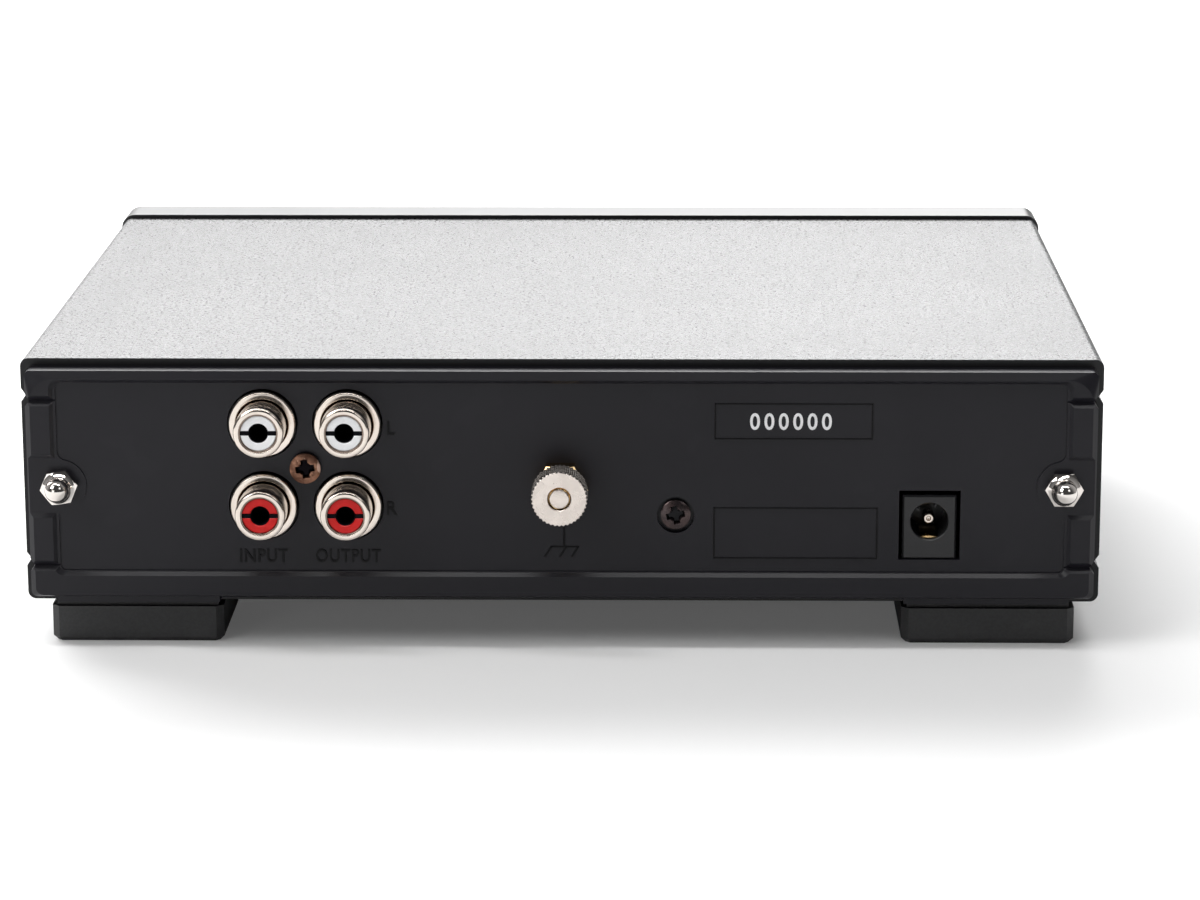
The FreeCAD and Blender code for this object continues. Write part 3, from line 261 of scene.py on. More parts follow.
def handling_group() -> Tree:
    """Hairline rubs and specks of dust, as a mask that is 1 on a rub.

    Returns:
        The group, with the mask.
    """
    tree, given, out = new_group("handling_marks", {"Scale": 120.0, "Amount": 0.3}, ("Mask",))
    place, scale = given.outputs["Vector"], given.outputs["Scale"]
    stretch = add_node(
        tree, "ShaderNodeMapping",
        {"Vector": place, "Rotation": HAIR_TURN, "Scale": HAIR_STRETCH},
    )
    hairs = add_node(
        tree, "ShaderNodeTexNoise", {"Vector": stretch.outputs["Vector"], "Scale": scale, "Detail": 2.0}
    )
    fine = math_node(tree, "MULTIPLY", scale, DUST_SCALE)
    dust = add_node(tree, "ShaderNodeTexNoise", {"Vector": place, "Scale": fine, "Detail": 1.0})
    rub = math_node(tree, "GREATER_THAN", hairs.outputs["Fac"], HAIR_LIMIT)
    speck = math_node(tree, "GREATER_THAN", dust.outputs["Fac"], DUST_LIMIT)
    both = math_node(tree, "MAXIMUM", rub, speck)
    mask = math_node(tree, "MULTIPLY", both, given.outputs["Amount"], clamp=True)
    feed(tree, out.inputs["Mask"], mask)
    return tree


GROUPS = {
    "grain": fine_grain_group(),
    "drift": tone_drift_group(),
    "marks": handling_group(),
}


@dataclass(frozen=True)
class Finish:
    """A finish of one of the object's own surfaces.

    Colours are linear. Grain is given as the size of one lump, and depths are in metres.
    """

    name: str
    colour: Colour
    roughness: float
    metallic: float = 0.0
    drift_colour: Colour | None = None
    drift_size: float = 0.03
    grain_size: float = 0.0005
    grain_depth: float = 0.00002
    grain_strength: float = 0.3
    speck: float = 0.0
    roughness_spread: float = 0.06
    roughness_grain: float = 0.0
    rub: float = 0.25
    rub_colour: Colour | None = None
    rub_polish: float = 0.12
    coat: float = 0.0
    coat_grain: float = 0.0
    coat_roughness: float = 0.08
    cut_plane: float | None = None
    specular: float = 0.5
    transmission: float = 0.0
    # Colour of the painted shade, used where a mesh's shade mask is set.
    painted_shade_colour: Colour | None = None


class FinishPainter:
    """Wires the node material of one finish, with colour, roughness and bump all varied."""

    def __init__(self, finish: Finish) -> None:
        """Starts the material and places the shared groups in it.

        Args:
            finish: The finish to wire.
        """
        self.finish = finish
        self.material = bpy.data.materials.new(finish.name)
        self.material.use_nodes = True
        self.tree = self.material.node_tree
        self.shader = self.tree.nodes["Principled BSDF"]
        self.place = self.tree.nodes.new("ShaderNodeTexCoord").outputs["Object"]
        grain = self._group("grain", "Scale", 1.0 / finish.grain_size)
        self.drift = self._group("drift", "Scale", 1.0 / finish.drift_size)["Drift"]
        self.marks = self._group("marks", "Amount", finish.rub)["Mask"]
        self.height, self.speck = self._off_the_cut(grain["Height"], grain["Speck"])

    def paint(self) -> bpy.types.Material:
        """Feeds the shader.

        Returns:
            The material.
        """
        self._wire_colour()
        self._wire_roughness()
        self._wire_bump()
        self._wire_coat()
        for label, value in (
            ("Metallic", self.finish.metallic),
            ("Coat Roughness", self.finish.coat_roughness),
            ("Specular IOR Level", self.finish.specular),
            ("Transmission Weight", self.finish.transmission),
        ):
            self.shader.inputs[label].default_value = value
        return self.material

    def _math(self, operation: str, first: Socket | float, second: Socket | float) -> Socket:
        """The result of a Math node in the material."""
        return math_node(self.tree, operation, first, second)

    def _group(self, key: str, label: str, value: float) -> bpy.types.bpy_prop_collection:
        """Places one shared group in the material, on the object's coordinates.

        Args:
            key: Which group.
            label: The number input that this finish sets.
            value: Its value.

        Returns:
            The group's outputs.
        """
        node = self.tree.nodes.new("ShaderNodeGroup")
        node.node_tree = GROUPS[key]
        feed(self.tree, node.inputs["Vector"], self.place)
        feed(self.tree, node.inputs[label], value)
        return node.outputs

    def _off_the_cut(self, *grain: Socket) -> tuple[Socket, ...]:
        """Flattens the grain past the plane where the stock was sawn.

        Args:
            *grain: The grain's sockets.

        Returns:
            The sockets to use in their place, or the same ones where nothing was sawn.
        """
        if self.finish.cut_plane is None:
            return grain
        parts = add_node(self.tree, "ShaderNodeSeparateXYZ", {"Vector": self.place})
        coated = self._math("LESS_THAN", parts.outputs["Y"], self.finish.cut_plane)
        return tuple(self._math("MULTIPLY", socket, coated) for socket in grain)

    def _mix(self, share: Socket, first: object, second: object) -> Socket:
        """The result of a colour mix in the material."""
        return mix_node(self.tree, MixKind.RGBA, share, first, second)

    def _wire_colour(self) -> None:
        """Feeds Base Color from the finish's tone, its drift, its specks, its rubs and the painted shade
        that the mesh marks.
        """
        finish = self.finish
        other = finish.drift_colour or tuple(DRIFT_SHADE * c for c in finish.colour)
        tone = self._mix(self.drift, finish.colour, other)
        if finish.speck:
            pale = tuple(min(1.0, c * (1.0 + finish.speck)) for c in finish.colour)
            tone = self._mix(self.speck, tone, pale)
        worn = finish.rub_colour or tuple(min(1.0, RUB_GAIN * c + RUB_LIFT) for c in finish.colour)
        tone = self._mix(self.marks, tone, worn)
        # Painted shade: darkens the colour by the mesh's shade mask.
        if finish.painted_shade_colour is not None:
            soot = self.tree.nodes.new("ShaderNodeAttribute")
            soot.attribute_name = PAINTED_SHADE
            tone = self._mix(soot.outputs["Fac"], tone, finish.painted_shade_colour)
        feed(self.tree, self.shader.inputs["Base Color"], tone)

    def _wire_roughness(self) -> None:
        """Feeds Roughness, which drifts over the part and falls where it was rubbed."""
        finish = self.finish
        wander = self._math("MULTIPLY", self.drift, finish.roughness_spread)
        level = self._math("ADD", wander, finish.roughness - finish.roughness_spread / 2)
        if finish.roughness_grain:
            flecks = self._math("SUBTRACT", self.speck, 0.5)
            level = self._math("ADD", level, self._math("MULTIPLY", flecks, finish.roughness_grain))
        rubbed = self._math("MULTIPLY", self.marks, finish.rub_polish)
        result = math_node(self.tree, "SUBTRACT", level, rubbed, clamp=True)
        feed(self.tree, self.shader.inputs["Roughness"], result)

    def _wire_bump(self) -> None:
        """Feeds Normal from the height of the grain."""
        bump = add_node(
            self.tree, "ShaderNodeBump",
            {
                "Strength": self.finish.grain_strength,
                "Distance": self.finish.grain_depth,
                "Height": self.height,
            },
        )
        feed(self.tree, self.shader.inputs["Normal"], bump.outputs["Normal"])

    def _wire_coat(self) -> None:
        """Sets Coat Weight, which is higher on the lumps where the finish has a coat grain."""
        weight = self.finish.coat
        if self.finish.coat_grain:
            lumps = self._math("MULTIPLY", self.speck, self.finish.coat_grain)
            weight = math_node(self.tree, "ADD", lumps, self.finish.coat, clamp=True)
        feed(self.tree, self.shader.inputs["Coat Weight"], weight)


SLEEVE_COAT = Finish(
    "sleeve_coat", (0.015, 0.015, 0.0165), 0.36, grain_size=0.00062, grain_depth=0.00018,
    grain_strength=1.0, speck=1.6, rub=0.04, drift_size=0.05, roughness_grain=0.30,
    specular=0.16, coat=0.08, coat_grain=0.40, coat_roughness=0.36,
    cut_plane=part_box("case_sleeve")[1].y - 0.00006,
)
PANEL_PLASTIC = Finish(
    "panel_plastic", (0.0100, 0.0095, 0.0130), 0.34, grain_size=0.00035, grain_depth=0.00001,
    grain_strength=0.25, rub=0.05, drift_size=0.04, specular=0.24,
)
# A darker copy of the panel plastic: painted shade that the raised marks on the panel show.
PANEL_RELIEF_SHADE = replace(
    PANEL_PLASTIC, name="panel_relief", colour=(0.0045, 0.0045, 0.0052), roughness=0.46, specular=0.16,
)
FASCIA_GLOSS = Finish(
    "fascia_gloss", (0.011, 0.011, 0.012), 0.34, grain_size=0.0005, grain_depth=0.00001,
    grain_strength=0.2, rub=0.06,
)
FOOT_RUBBER = Finish(
    "foot_rubber", (0.020, 0.020, 0.021), 0.55, grain_size=0.0004, grain_depth=0.00003,
    grain_strength=0.35, rub=0.2, speck=0.2,
)
NICKEL = Finish(
    "nickel", (0.74, 0.67, 0.605), 0.15, metallic=1.0, drift_colour=(0.66, 0.585, 0.52),
    drift_size=0.004, grain_size=0.0006, grain_depth=0.000003, grain_strength=0.08, rub=0.04,
    # Dark brown painted shade for the sockets' root groove and mouth.
    painted_shade_colour=(0.10, 0.055, 0.035),
)
CHROME = Finish(
    "dome_chrome", (0.80, 0.765, 0.73), 0.06, metallic=1.0, drift_colour=(0.72, 0.67, 0.63),
    drift_size=0.004, grain_size=0.0006, grain_depth=0.000006, grain_strength=0.12, rub=0.05,
    roughness_spread=0.05,
)
BRASS_GOLD = Finish(
    "gold_plate", (0.88, 0.66, 0.36), 0.16, metallic=1.0, drift_colour=(0.80, 0.54, 0.25),
    drift_size=0.002, grain_size=0.0003, grain_depth=0.000006, rub=0.35,
)
KNURL_METAL = Finish(
    "knurl_metal", (0.78, 0.73, 0.69), 0.20, metallic=1.0, drift_colour=(0.36, 0.32, 0.29),
    drift_size=0.0012, grain_size=0.0002, grain_depth=0.000004, grain_strength=0.1, rub=0.3,
    # The last colour is near-black painted shade for the roots of the knurl.
    rub_colour=(0.90, 0.85, 0.81), painted_shade_colour=(0.010, 0.008, 0.008),
)
NUT_FACE = Finish(
    "nut_face", (0.70, 0.635, 0.585), 0.27, metallic=1.0, drift_colour=(0.63, 0.57, 0.525),
    drift_size=0.003, grain_size=0.00018, grain_depth=0.000006, grain_strength=0.3, rub=0.2,
)
COPPER = Finish(
    "copper_plate", (0.33, 0.175, 0.115), 0.36, metallic=1.0, drift_colour=(0.085, 0.038, 0.026),
    drift_size=0.0011, grain_size=0.00035, grain_depth=0.00005, grain_strength=0.6, rub=0.6,
    # The last colour is near-black painted shade for the cross and the rim under the head.
    rub_colour=(0.62, 0.42, 0.33), painted_shade_colour=(0.006, 0.005, 0.006),
)
BLACK_STEEL = Finish(
    "black_steel", (0.032, 0.028, 0.030), 0.24, metallic=0.7, drift_colour=(0.085, 0.058, 0.056),
    drift_size=0.0016, grain_size=0.0003, grain_depth=0.00004, grain_strength=0.5, rub=0.5,
    # The last colour is near-black painted shade for the cross and the rim under the head.
    rub_colour=(0.30, 0.24, 0.22), painted_shade_colour=(0.003, 0.003, 0.004),
)
ZINC_STEEL = Finish(
    "zinc_steel", (0.55, 0.56, 0.58), 0.3, metallic=1.0, drift_size=0.006, grain_size=0.0012,
    grain_depth=0.00002, grain_strength=0.4,
)
WHITE_INSULATOR = Finish(
    "white_insulator", (0.90, 0.905, 0.915), 0.28, grain_size=0.0006, grain_depth=0.00001,
    grain_strength=0.2, rub=0.15, rub_colour=(0.78, 0.78, 0.77), drift_size=0.004,
    drift_colour=(0.86, 0.865, 0.875),
)
RED_INSULATOR = Finish(
    "red_insulator", (0.64, 0.012, 0.011), 0.34, specular=0.22, grain_size=0.0006, grain_depth=0.00001,
    grain_strength=0.2, rub=0.15, rub_colour=(0.74, 0.08, 0.06), drift_size=0.004,
)
BLACK_MOULDING = Finish(
    "black_moulding", (0.016, 0.016, 0.0175), 0.34, grain_size=0.0004, grain_depth=0.00002,
    grain_strength=0.3, rub=0.15, specular=0.38,
)
BOARD_LAMINATE = Finish(
    "board_laminate", (0.012, 0.085, 0.045), 0.3, drift_colour=(0.02, 0.12, 0.06),
    drift_size=0.01, grain_size=0.0008, grain_depth=0.00001, coat=0.4,
)
BUTTON_PLASTIC = Finish(
    "button_plastic", (0.018, 0.018, 0.019), 0.2, grain_size=0.002, grain_depth=0.00001, rub=0.3,
)
NATURAL_PLASTIC = Finish(
    "natural_plastic", (0.62, 0.60, 0.54), 0.45, grain_size=0.0008, rub=0.2, drift_size=0.01,
)
CLEAR_LENS = Finish(
    "clear_lens", (0.92, 0.90, 0.88), 0.12, grain_size=0.001, grain_depth=0.000005,
    transmission=0.85,
)
LAMP_RESIN = Finish("lamp_resin", (0.75, 0.08, 0.05), 0.2, grain_size=0.001, drift_size=0.002)
CAPACITOR_SLEEVE = Finish(
    "capacitor_sleeve", (0.03, 0.035, 0.06), 0.3, grain_size=0.003, grain_depth=0.00002,
    coat=0.3, rub_colour=(0.35, 0.36, 0.40), rub=0.4,
)
SINK_ALUMINIUM = Finish(
    "sink_aluminium", (0.60, 0.61, 0.62), 0.34, metallic=1.0, grain_size=0.0006, drift_size=0.01,
)
FILM_CASE = Finish(
    "film_case", (0.55, 0.16, 0.05), 0.4, grain_size=0.0008, drift_size=0.004,
)
PRINT_WHITE = Finish(
    "print_white", (0.84, 0.84, 0.85), 0.5, grain_size=0.0002, grain_depth=0.00001, rub=0.1,
    drift_size=0.002,
)
# Near-black that paints the shade deep in the sockets' holes and slots.
SHADE_BLACK = Finish(
    "bore_black", (0.003, 0.003, 0.005), 0.7, grain_size=0.0004, grain_depth=0.00001, rub=0.0,
    specular=0.08,
)


class Paintbox:
    """Builds each finish once and hands out its material."""

    def __init__(self) -> None:
        """Starts with no material built."""
        self._made: dict[str, bpy.types.Material] = {}

    def get(self, finish: Finish) -> bpy.types.Material:
        """The material of a finish, built the first time it is asked for.

        Args:
            finish: The finish.

        Returns:
            Its material.
        """
        if finish.name not in self._made:
            self._made[finish.name] = FinishPainter(finish).paint()
        return self._made[finish.name]


PAINT = Paintbox()


# Mesh helpers


def shade(mesh: bpy.types.Mesh, angle: float = SHARP_ANGLE) -> None:
    """Smooths a mesh and keeps its edges sharp above an angle."""
    mesh.shade_smooth()
    mesh.set_sharp_from_angle(angle=angle)


def piece_from(
    mesh: bpy.types.Mesh, name: str, finish: Finish, body: Body = Body.CASE, replaced: str = ""
) -> bpy.types.Object:
    """Makes a finished object of a mesh, with its place already in the mesh.

    Args:
        mesh: The mesh in the row frame.
        name: The piece's name.
        finish: Its finish.
        body: The body it rides on.
        replaced: The CAD node it stands for, or nothing.

    Returns:
        The object, riding on its body.
    """
    piece = bpy.data.objects.new(name, mesh)
    bpy.context.scene.collection.objects.link(piece)
    mesh.materials.clear()
    mesh.materials.append(PAINT.get(finish))
    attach(piece, body.value)
    if replaced:
        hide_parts(replaced)
    LOG.info("%s: %d faces on %s", name, len(mesh.polygons), body.value)
    return piece


def paint_shade_by(mesh: bpy.types.Mesh, share_at: Callable[[Vector], float]) -> bpy.types.Mesh:
    """Writes how much painted shade each vertex gets, which the finishes read as a mask that darkens their
    colour.

    Args:
        mesh: The mesh to mark.
        share_at: Gives the share, 0 to 1, at a place.

    Returns:
        The same mesh.
    """
    layer = mesh.attributes.new(PAINTED_SHADE, "FLOAT", "POINT")
    for vert, item in zip(mesh.vertices, layer.data):
        item.value = min(1.0, max(0.0, share_at(vert.co)))
    return mesh


def ring_at(
    shape: Shape, centre: Vector, steps: int, radius: RoundSize, along: RoundSize, lean: float = 0.0
) -> Ring:
    """Adds a ring of vertices round the Y axis.

    Args:
        shape: The bmesh to add to.
        centre: The point on the axis that distances start from.
        steps: How many vertices it has.
        radius: Its radius, or a function that gives it for each direction.
        along: Its distance along Y, or a function that gives it for each direction.
        lean: The direction of its first vertex.

    Returns:
        The vertices in order.
    """
    ring = []
    for step in range(steps):
        turn = math.tau * step / steps + lean
        reach, rise = (size(turn) if callable(size) else size for size in (radius, along))
        ring.append(shape.verts.new(centre + Vector((reach * math.cos(turn), rise, reach * math.sin(turn)))))
    return ring


def join_rings(shape: Shape, lower: Ring, upper: Ring) -> None:
    """Puts faces between two rings of vertices, either of which may be a single pole.

    Args:
        shape: The bmesh to add to.
        lower: One ring.
        upper: The other, with as many vertices unless one of them is a pole.
    """
    steps = max(len(lower), len(upper))
    if steps == 1:
        return
    for step in range(steps):
        after = (step + 1) % steps
        if len(lower) == 1:
            shape.faces.new((lower[0], upper[step], upper[after]))
        elif len(upper) == 1:
            shape.faces.new((lower[step], upper[0], lower[after]))
        else:
            shape.faces.new((lower[step], upper[step], upper[after], lower[after]))


def skin(shape: Shape, rings: list[Ring], closed: bool = False) -> None:
    """Joins rings in order.

    Args:
        shape: The bmesh to add to.
        rings: The rings, where one at an end may be a single pole.
        closed: Whether the last ring meets the first. If not, each open end gets a face.
    """
    for lower, upper in zip(rings, rings[1:] + (rings[:1] if closed else [])):
        join_rings(shape, lower, upper)
    for end in () if closed else (rings[0], rings[-1]):
        if len(end) > 1:
            shape.faces.new(end)


def closed_mesh(shape: Shape, name: str) -> bpy.types.Mesh:
    """Merges doubles, turns the faces outwards and frees the bmesh.

    Args:
        shape: The finished bmesh.
        name: The mesh's name.

    Returns:
        The mesh, smooth with sharp edges.
    """
    bmesh.ops.remove_doubles(shape, verts=shape.verts, dist=MERGE_DISTANCE)
    bmesh.ops.recalc_face_normals(shape, faces=shape.faces)
    mesh = bpy.data.meshes.new(name)
    shape.to_mesh(mesh)
    shape.free()
    shade(mesh)
    return mesh


def turned(profile: Profile, centre: Vector, steps: int = TURN_STEPS) -> bpy.types.Mesh:
    """Turns a closed profile round the Y axis.

    Args:
        profile: Points (radius, distance along Y) in metres, in order round the section. A
            point on the axis has radius 0.
        centre: The axis point that distance 0 stands for.
        steps: How many segments a full turn has.

    Returns:
        The closed mesh, with its faces outwards.
    """
    shape = bmesh.new()
    rings = [
        ring_at(shape, centre, 1 if radius < TINY else steps, radius, along) for radius, along in profile
    ]
    skin(shape, rings, closed=True)
    return closed_mesh(shape, "turned")


def rounded(profile: Profile, radius: float, steps: int = 2) -> list[tuple[float, float]]:
    """Rounds the corners of a section.

    Args:
        profile: The corner points, in order.
        radius: The largest rounding, less where a side is short.
        steps: How many points each rounding has.

    Returns:
        The section with an arc in place of each corner that is off the axis.
    """
    count = len(profile)
    result: list[tuple[float, float]] = []
    for i, here in enumerate(profile):
        corner = Vector(here)
        before = Vector(profile[i - 1]) - corner
        after = Vector(profile[(i + 1) % count]) - corner
        reach = min(radius, SIDE_SHARE * before.length, SIDE_SHARE * after.length)
        if corner.x < TINY or reach < TINY:
            result.append((corner.x, corner.y))
            continue
        start = corner + before.normalized() * reach
        end = corner + after.normalized() * reach
        for step in range(steps + 1):
            share = step / steps
            point = start * (1 - share) ** 2 + corner * 2 * share * (1 - share) + end * share**2
            result.append((point.x, point.y))
    return result


def mm(*points: tuple[float, float]) -> list[tuple[float, float]]:
    """Section points given in millimetres, as metres."""
    return [(r * MM, y * MM) for r, y in points]


def hexagon_prism(
    across: float, low: float, high: float, chamfer: float, lean: float, bore: float, centre: Vector
) -> bpy.types.Mesh:
    """A chamfered hexagon round the Y axis.

    Args:
        across: The size across the flats.
        low: Where it starts along Y.
        high: Where it ends along Y.
        chamfer: The rise of the cone that cuts the corners at the high end.
        lean: The turn of the hexagon, in radians.
        bore: The radius of its hole, or 0.
        centre: The point on its axis that low and high are measured from.

    Returns:
        The closed mesh, made of rings that follow the hexagon.
    """
    shape = bmesh.new()
    corner = across / math.sqrt(3.0)
    cone = across / 2 * CONE_SHARE
    inner = bore or across / 4
    slope = chamfer / (corner - cone)

    def flat_radius(turn: float) -> float:
        """The distance to the hexagon's side in one direction."""
        part = (turn - lean + math.pi / 6) % (math.pi / 3) - math.pi / 6
        return across / 2 / math.cos(part)

    def shoulder(turn: float) -> float:
        """How far up the side goes in one direction before the cone cuts it."""
        return high - slope * (flat_radius(turn) - cone)

    rings = [
        ring_at(shape, centre, HEXAGON_STEPS, radius, along, lean)
        for radius, along in (
            (inner, low), (flat_radius, low), (flat_radius, shoulder), (cone, high), (inner, high),
        )
    ]
    skin(shape, rings, closed=bool(bore))
    return closed_mesh(shape, "hexagon")


def bevelled_block(low: Vector, high: Vector, bevel: float, segments: int) -> bpy.types.Mesh:
    """A block between two corners with every edge rounded.

    Args:
        low: Its lowest corner.
        high: Its highest corner.
        bevel: The rounding.
        segments: The steps of the rounding.

    Returns:
        The closed mesh.
    """
    shape = bmesh.new()
    bmesh.ops.create_cube(shape, size=1.0)
    span = high - low
    for vert in shape.verts:
        vert.co = Vector([low[i] + (vert.co[i] + 0.5) * span[i] for i in range(3)])
    bmesh.ops.bevel(
        shape, geom=shape.edges[:], offset=bevel, segments=segments, profile=EDGE_PROFILE,
        affect="EDGES", clamp_overlap=True,
    )
    return closed_mesh(shape, "block")


def joined(meshes: Iterable[bpy.types.Mesh], name: str) -> bpy.types.Mesh:
    """Puts several closed meshes in one.

    Args:
        meshes: The meshes, which are used up.
        name: The new mesh's name.

    Returns:
        The one mesh.
    """
    shape = bmesh.new()
    for mesh in meshes:
        shape.from_mesh(mesh)
        bpy.data.meshes.remove(mesh)
    mesh = bpy.data.meshes.new(name)
    shape.to_mesh(mesh)
    shape.free()
    shade(mesh)
    return mesh


def evaluated_mesh(holder: bpy.types.Object) -> bpy.types.Mesh:
    """The plain mesh that an unlinked maker object makes when it is evaluated.

    Args:
        holder: The maker, which is removed.

    Returns:
        The mesh.
    """
    bpy.context.scene.collection.objects.link(holder)
    bpy.context.view_layer.update()
    evaluated = holder.evaluated_get(bpy.context.evaluated_depsgraph_get())
    mesh = bpy.data.meshes.new_from_object(evaluated)
    holder.modifiers.clear()
    bpy.data.objects.remove(holder)
    return mesh


def axis_point(node: str, along: float) -> Vector:
    """A point on the Y axis through the middle of a CAD node's box."""
    low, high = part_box(node)
    return Vector(((low.x + high.x) / 2, along, (low.z + high.z) / 2))


def half_width(node: str) -> float:
    """Half the width of a CAD node's box."""
    low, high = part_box(node)
    return (high.x - low.x) / 2


# Studio


@dataclass(frozen=True)
class Lamp:
    """A soft rectangular lamp that points at a target."""

    name: str
    place: tuple[float, float, float]
    target: tuple[float, float, float]
    size: tuple[float, float]
    power: float

    def build(self) -> None:
        """Adds the lamp, which the camera doesn't see."""
        data = bpy.data.lights.new(self.name, "AREA")
        data.shape = "RECTANGLE"
        data.size, data.size_y = self.size
        data.energy = self.power
        lamp = bpy.data.objects.new(self.name, data)
        aim = Vector(self.target) - Vector(self.place)
        turn = aim.to_track_quat("-Z", "Y").to_matrix().to_4x4()
        lamp.matrix_world = Matrix.Translation(self.place) @ turn
        lamp.visible_camera = False
        bpy.context.scene.collection.objects.link(lamp)


LAMPS = (
    Lamp("back_softbox", (0.44, -1.10, 0.82), (0.0, 0.0, 0.03), (1.95, 0.85), 44.0),
    Lamp("key_softbox", (0.95, 0.80, 1.00), (0.0, 0.05, 0.02), (0.7, 0.7), 7.6),
    Lamp("left_card", (0.40, 0.66, 0.12), (0.05, 0.05, 0.03), (0.28, 0.22), 0.30),
    Lamp("right_card", (-0.62, 0.84, 0.70), (0.0, 0.05, 0.03), (0.36, 0.36), 0.6),
    Lamp("edge_strip", (0.05, 0.32, 1.20), (0.0, 0.02, 0.03), (1.3, 0.14), 6.5),
)


@dataclass
class Studio:
    """The pale floor, the room and the camera that took the photograph's view."""

    eye: tuple[float, float, float] = (-0.018676, 0.70506, 0.188875)
    aim: tuple[float, float, float] = (0.01851, -0.97164, -0.23575)
    roll: float = math.radians(-0.13)
    lens: float = 118.6
    sensor: float = 36.0
    near_clip: float = 0.01
    floor_half: float = 3.0
    floor_tone: float = 0.90
    floor_roughness: float = 0.75
    floor_specular: float = 0.2
    floor_lift: float = 0.08
    room_light: float = 0.25
    room_gloss: float = 0.42
    dusk_start: float = -0.25
    dusk_end: float = 0.40
    dusk_level: float = 0.14

    def build(self) -> None:
        """Makes the world, the floor, the lamps and the camera."""
        bpy.context.scene.view_settings.view_transform = "Standard"
        self._camera()
        self._world()
        self._floor()
        for lamp in LAMPS:
            lamp.build()

    def _camera(self) -> None:
        """Makes the camera from its place, its direction and its small roll."""
        data = bpy.data.cameras.new("camera")
        data.lens = self.lens
        data.sensor_width = self.sensor
        data.sensor_fit = "HORIZONTAL"
        data.clip_start = self.near_clip
        camera = bpy.data.objects.new("camera", data)
        turn = Vector(self.aim).to_track_quat("-Z", "Y").to_matrix().to_4x4()
        camera.matrix_world = Matrix.Translation(self.eye) @ turn @ Matrix.Rotation(self.roll, 4, "Z")
        bpy.context.scene.collection.objects.link(camera)
        bpy.context.scene.camera = camera

    def _world(self) -> None:
        """A white room that is darker where the photographer stands, as metal shows it."""
        world = bpy.data.worlds.new("room")
        bpy.context.scene.world = world
        world.use_nodes = True
        tree = world.node_tree
        direction = tree.nodes.new("ShaderNodeTexCoord").outputs["Generated"]
        parts = add_node(tree, "ShaderNodeSeparateXYZ", {"Vector": direction})
        front = add_node(
            tree, "ShaderNodeMapRange",
            {
                "Value": parts.outputs["Y"], "From Min": self.dusk_start, "From Max": self.dusk_end,
                "To Min": 1.0, "To Max": self.dusk_level,
            },
        ).outputs["Result"]
        room = math_node(tree, "MULTIPLY", front, self.room_light)
        glossy = math_node(tree, "MULTIPLY", front, self.room_gloss)
        rays = tree.nodes.new("ShaderNodeLightPath").outputs
        shiny = math_node(tree, "MAXIMUM", rays["Is Glossy Ray"], rays["Is Transmission Ray"])
        base = mix_node(tree, MixKind.FLOAT, shiny, room, glossy)
        seen = mix_node(tree, MixKind.FLOAT, rays["Is Camera Ray"], base, 1.0)
        background = tree.nodes["Background"]
        feed(tree, background.inputs["Strength"], seen)
        feed(tree, background.inputs["Color"], WHITE)

    def _floor(self) -> None:
        """A white floor that keeps the soft shadow and reads as white to the camera."""
        shape = bmesh.new()
        bmesh.ops.create_grid(shape, x_segments=2, y_segments=2, size=self.floor_half)
        mesh = bpy.data.meshes.new("floor")
        shape.to_mesh(mesh)
        shape.free()
        floor = bpy.data.objects.new("floor", mesh)
        bpy.context.scene.collection.objects.link(floor)
        material = bpy.data.materials.new("floor_paper")
        material.use_nodes = True
        tree = material.node_tree
        rays = tree.nodes.new("ShaderNodeLightPath").outputs
        lift = math_node(tree, "MULTIPLY", rays["Is Camera Ray"], self.floor_lift)
        for label, given in (
            ("Base Color", (self.floor_tone,) * 3),
            ("Roughness", self.floor_roughness),
            ("Specular IOR Level", self.floor_specular),
            ("Emission Color", WHITE),
            ("Emission Strength", lift),
        ):
            feed(tree, tree.nodes["Principled BSDF"].inputs[label], given)
        mesh.materials.append(material)


# The object's own pieces


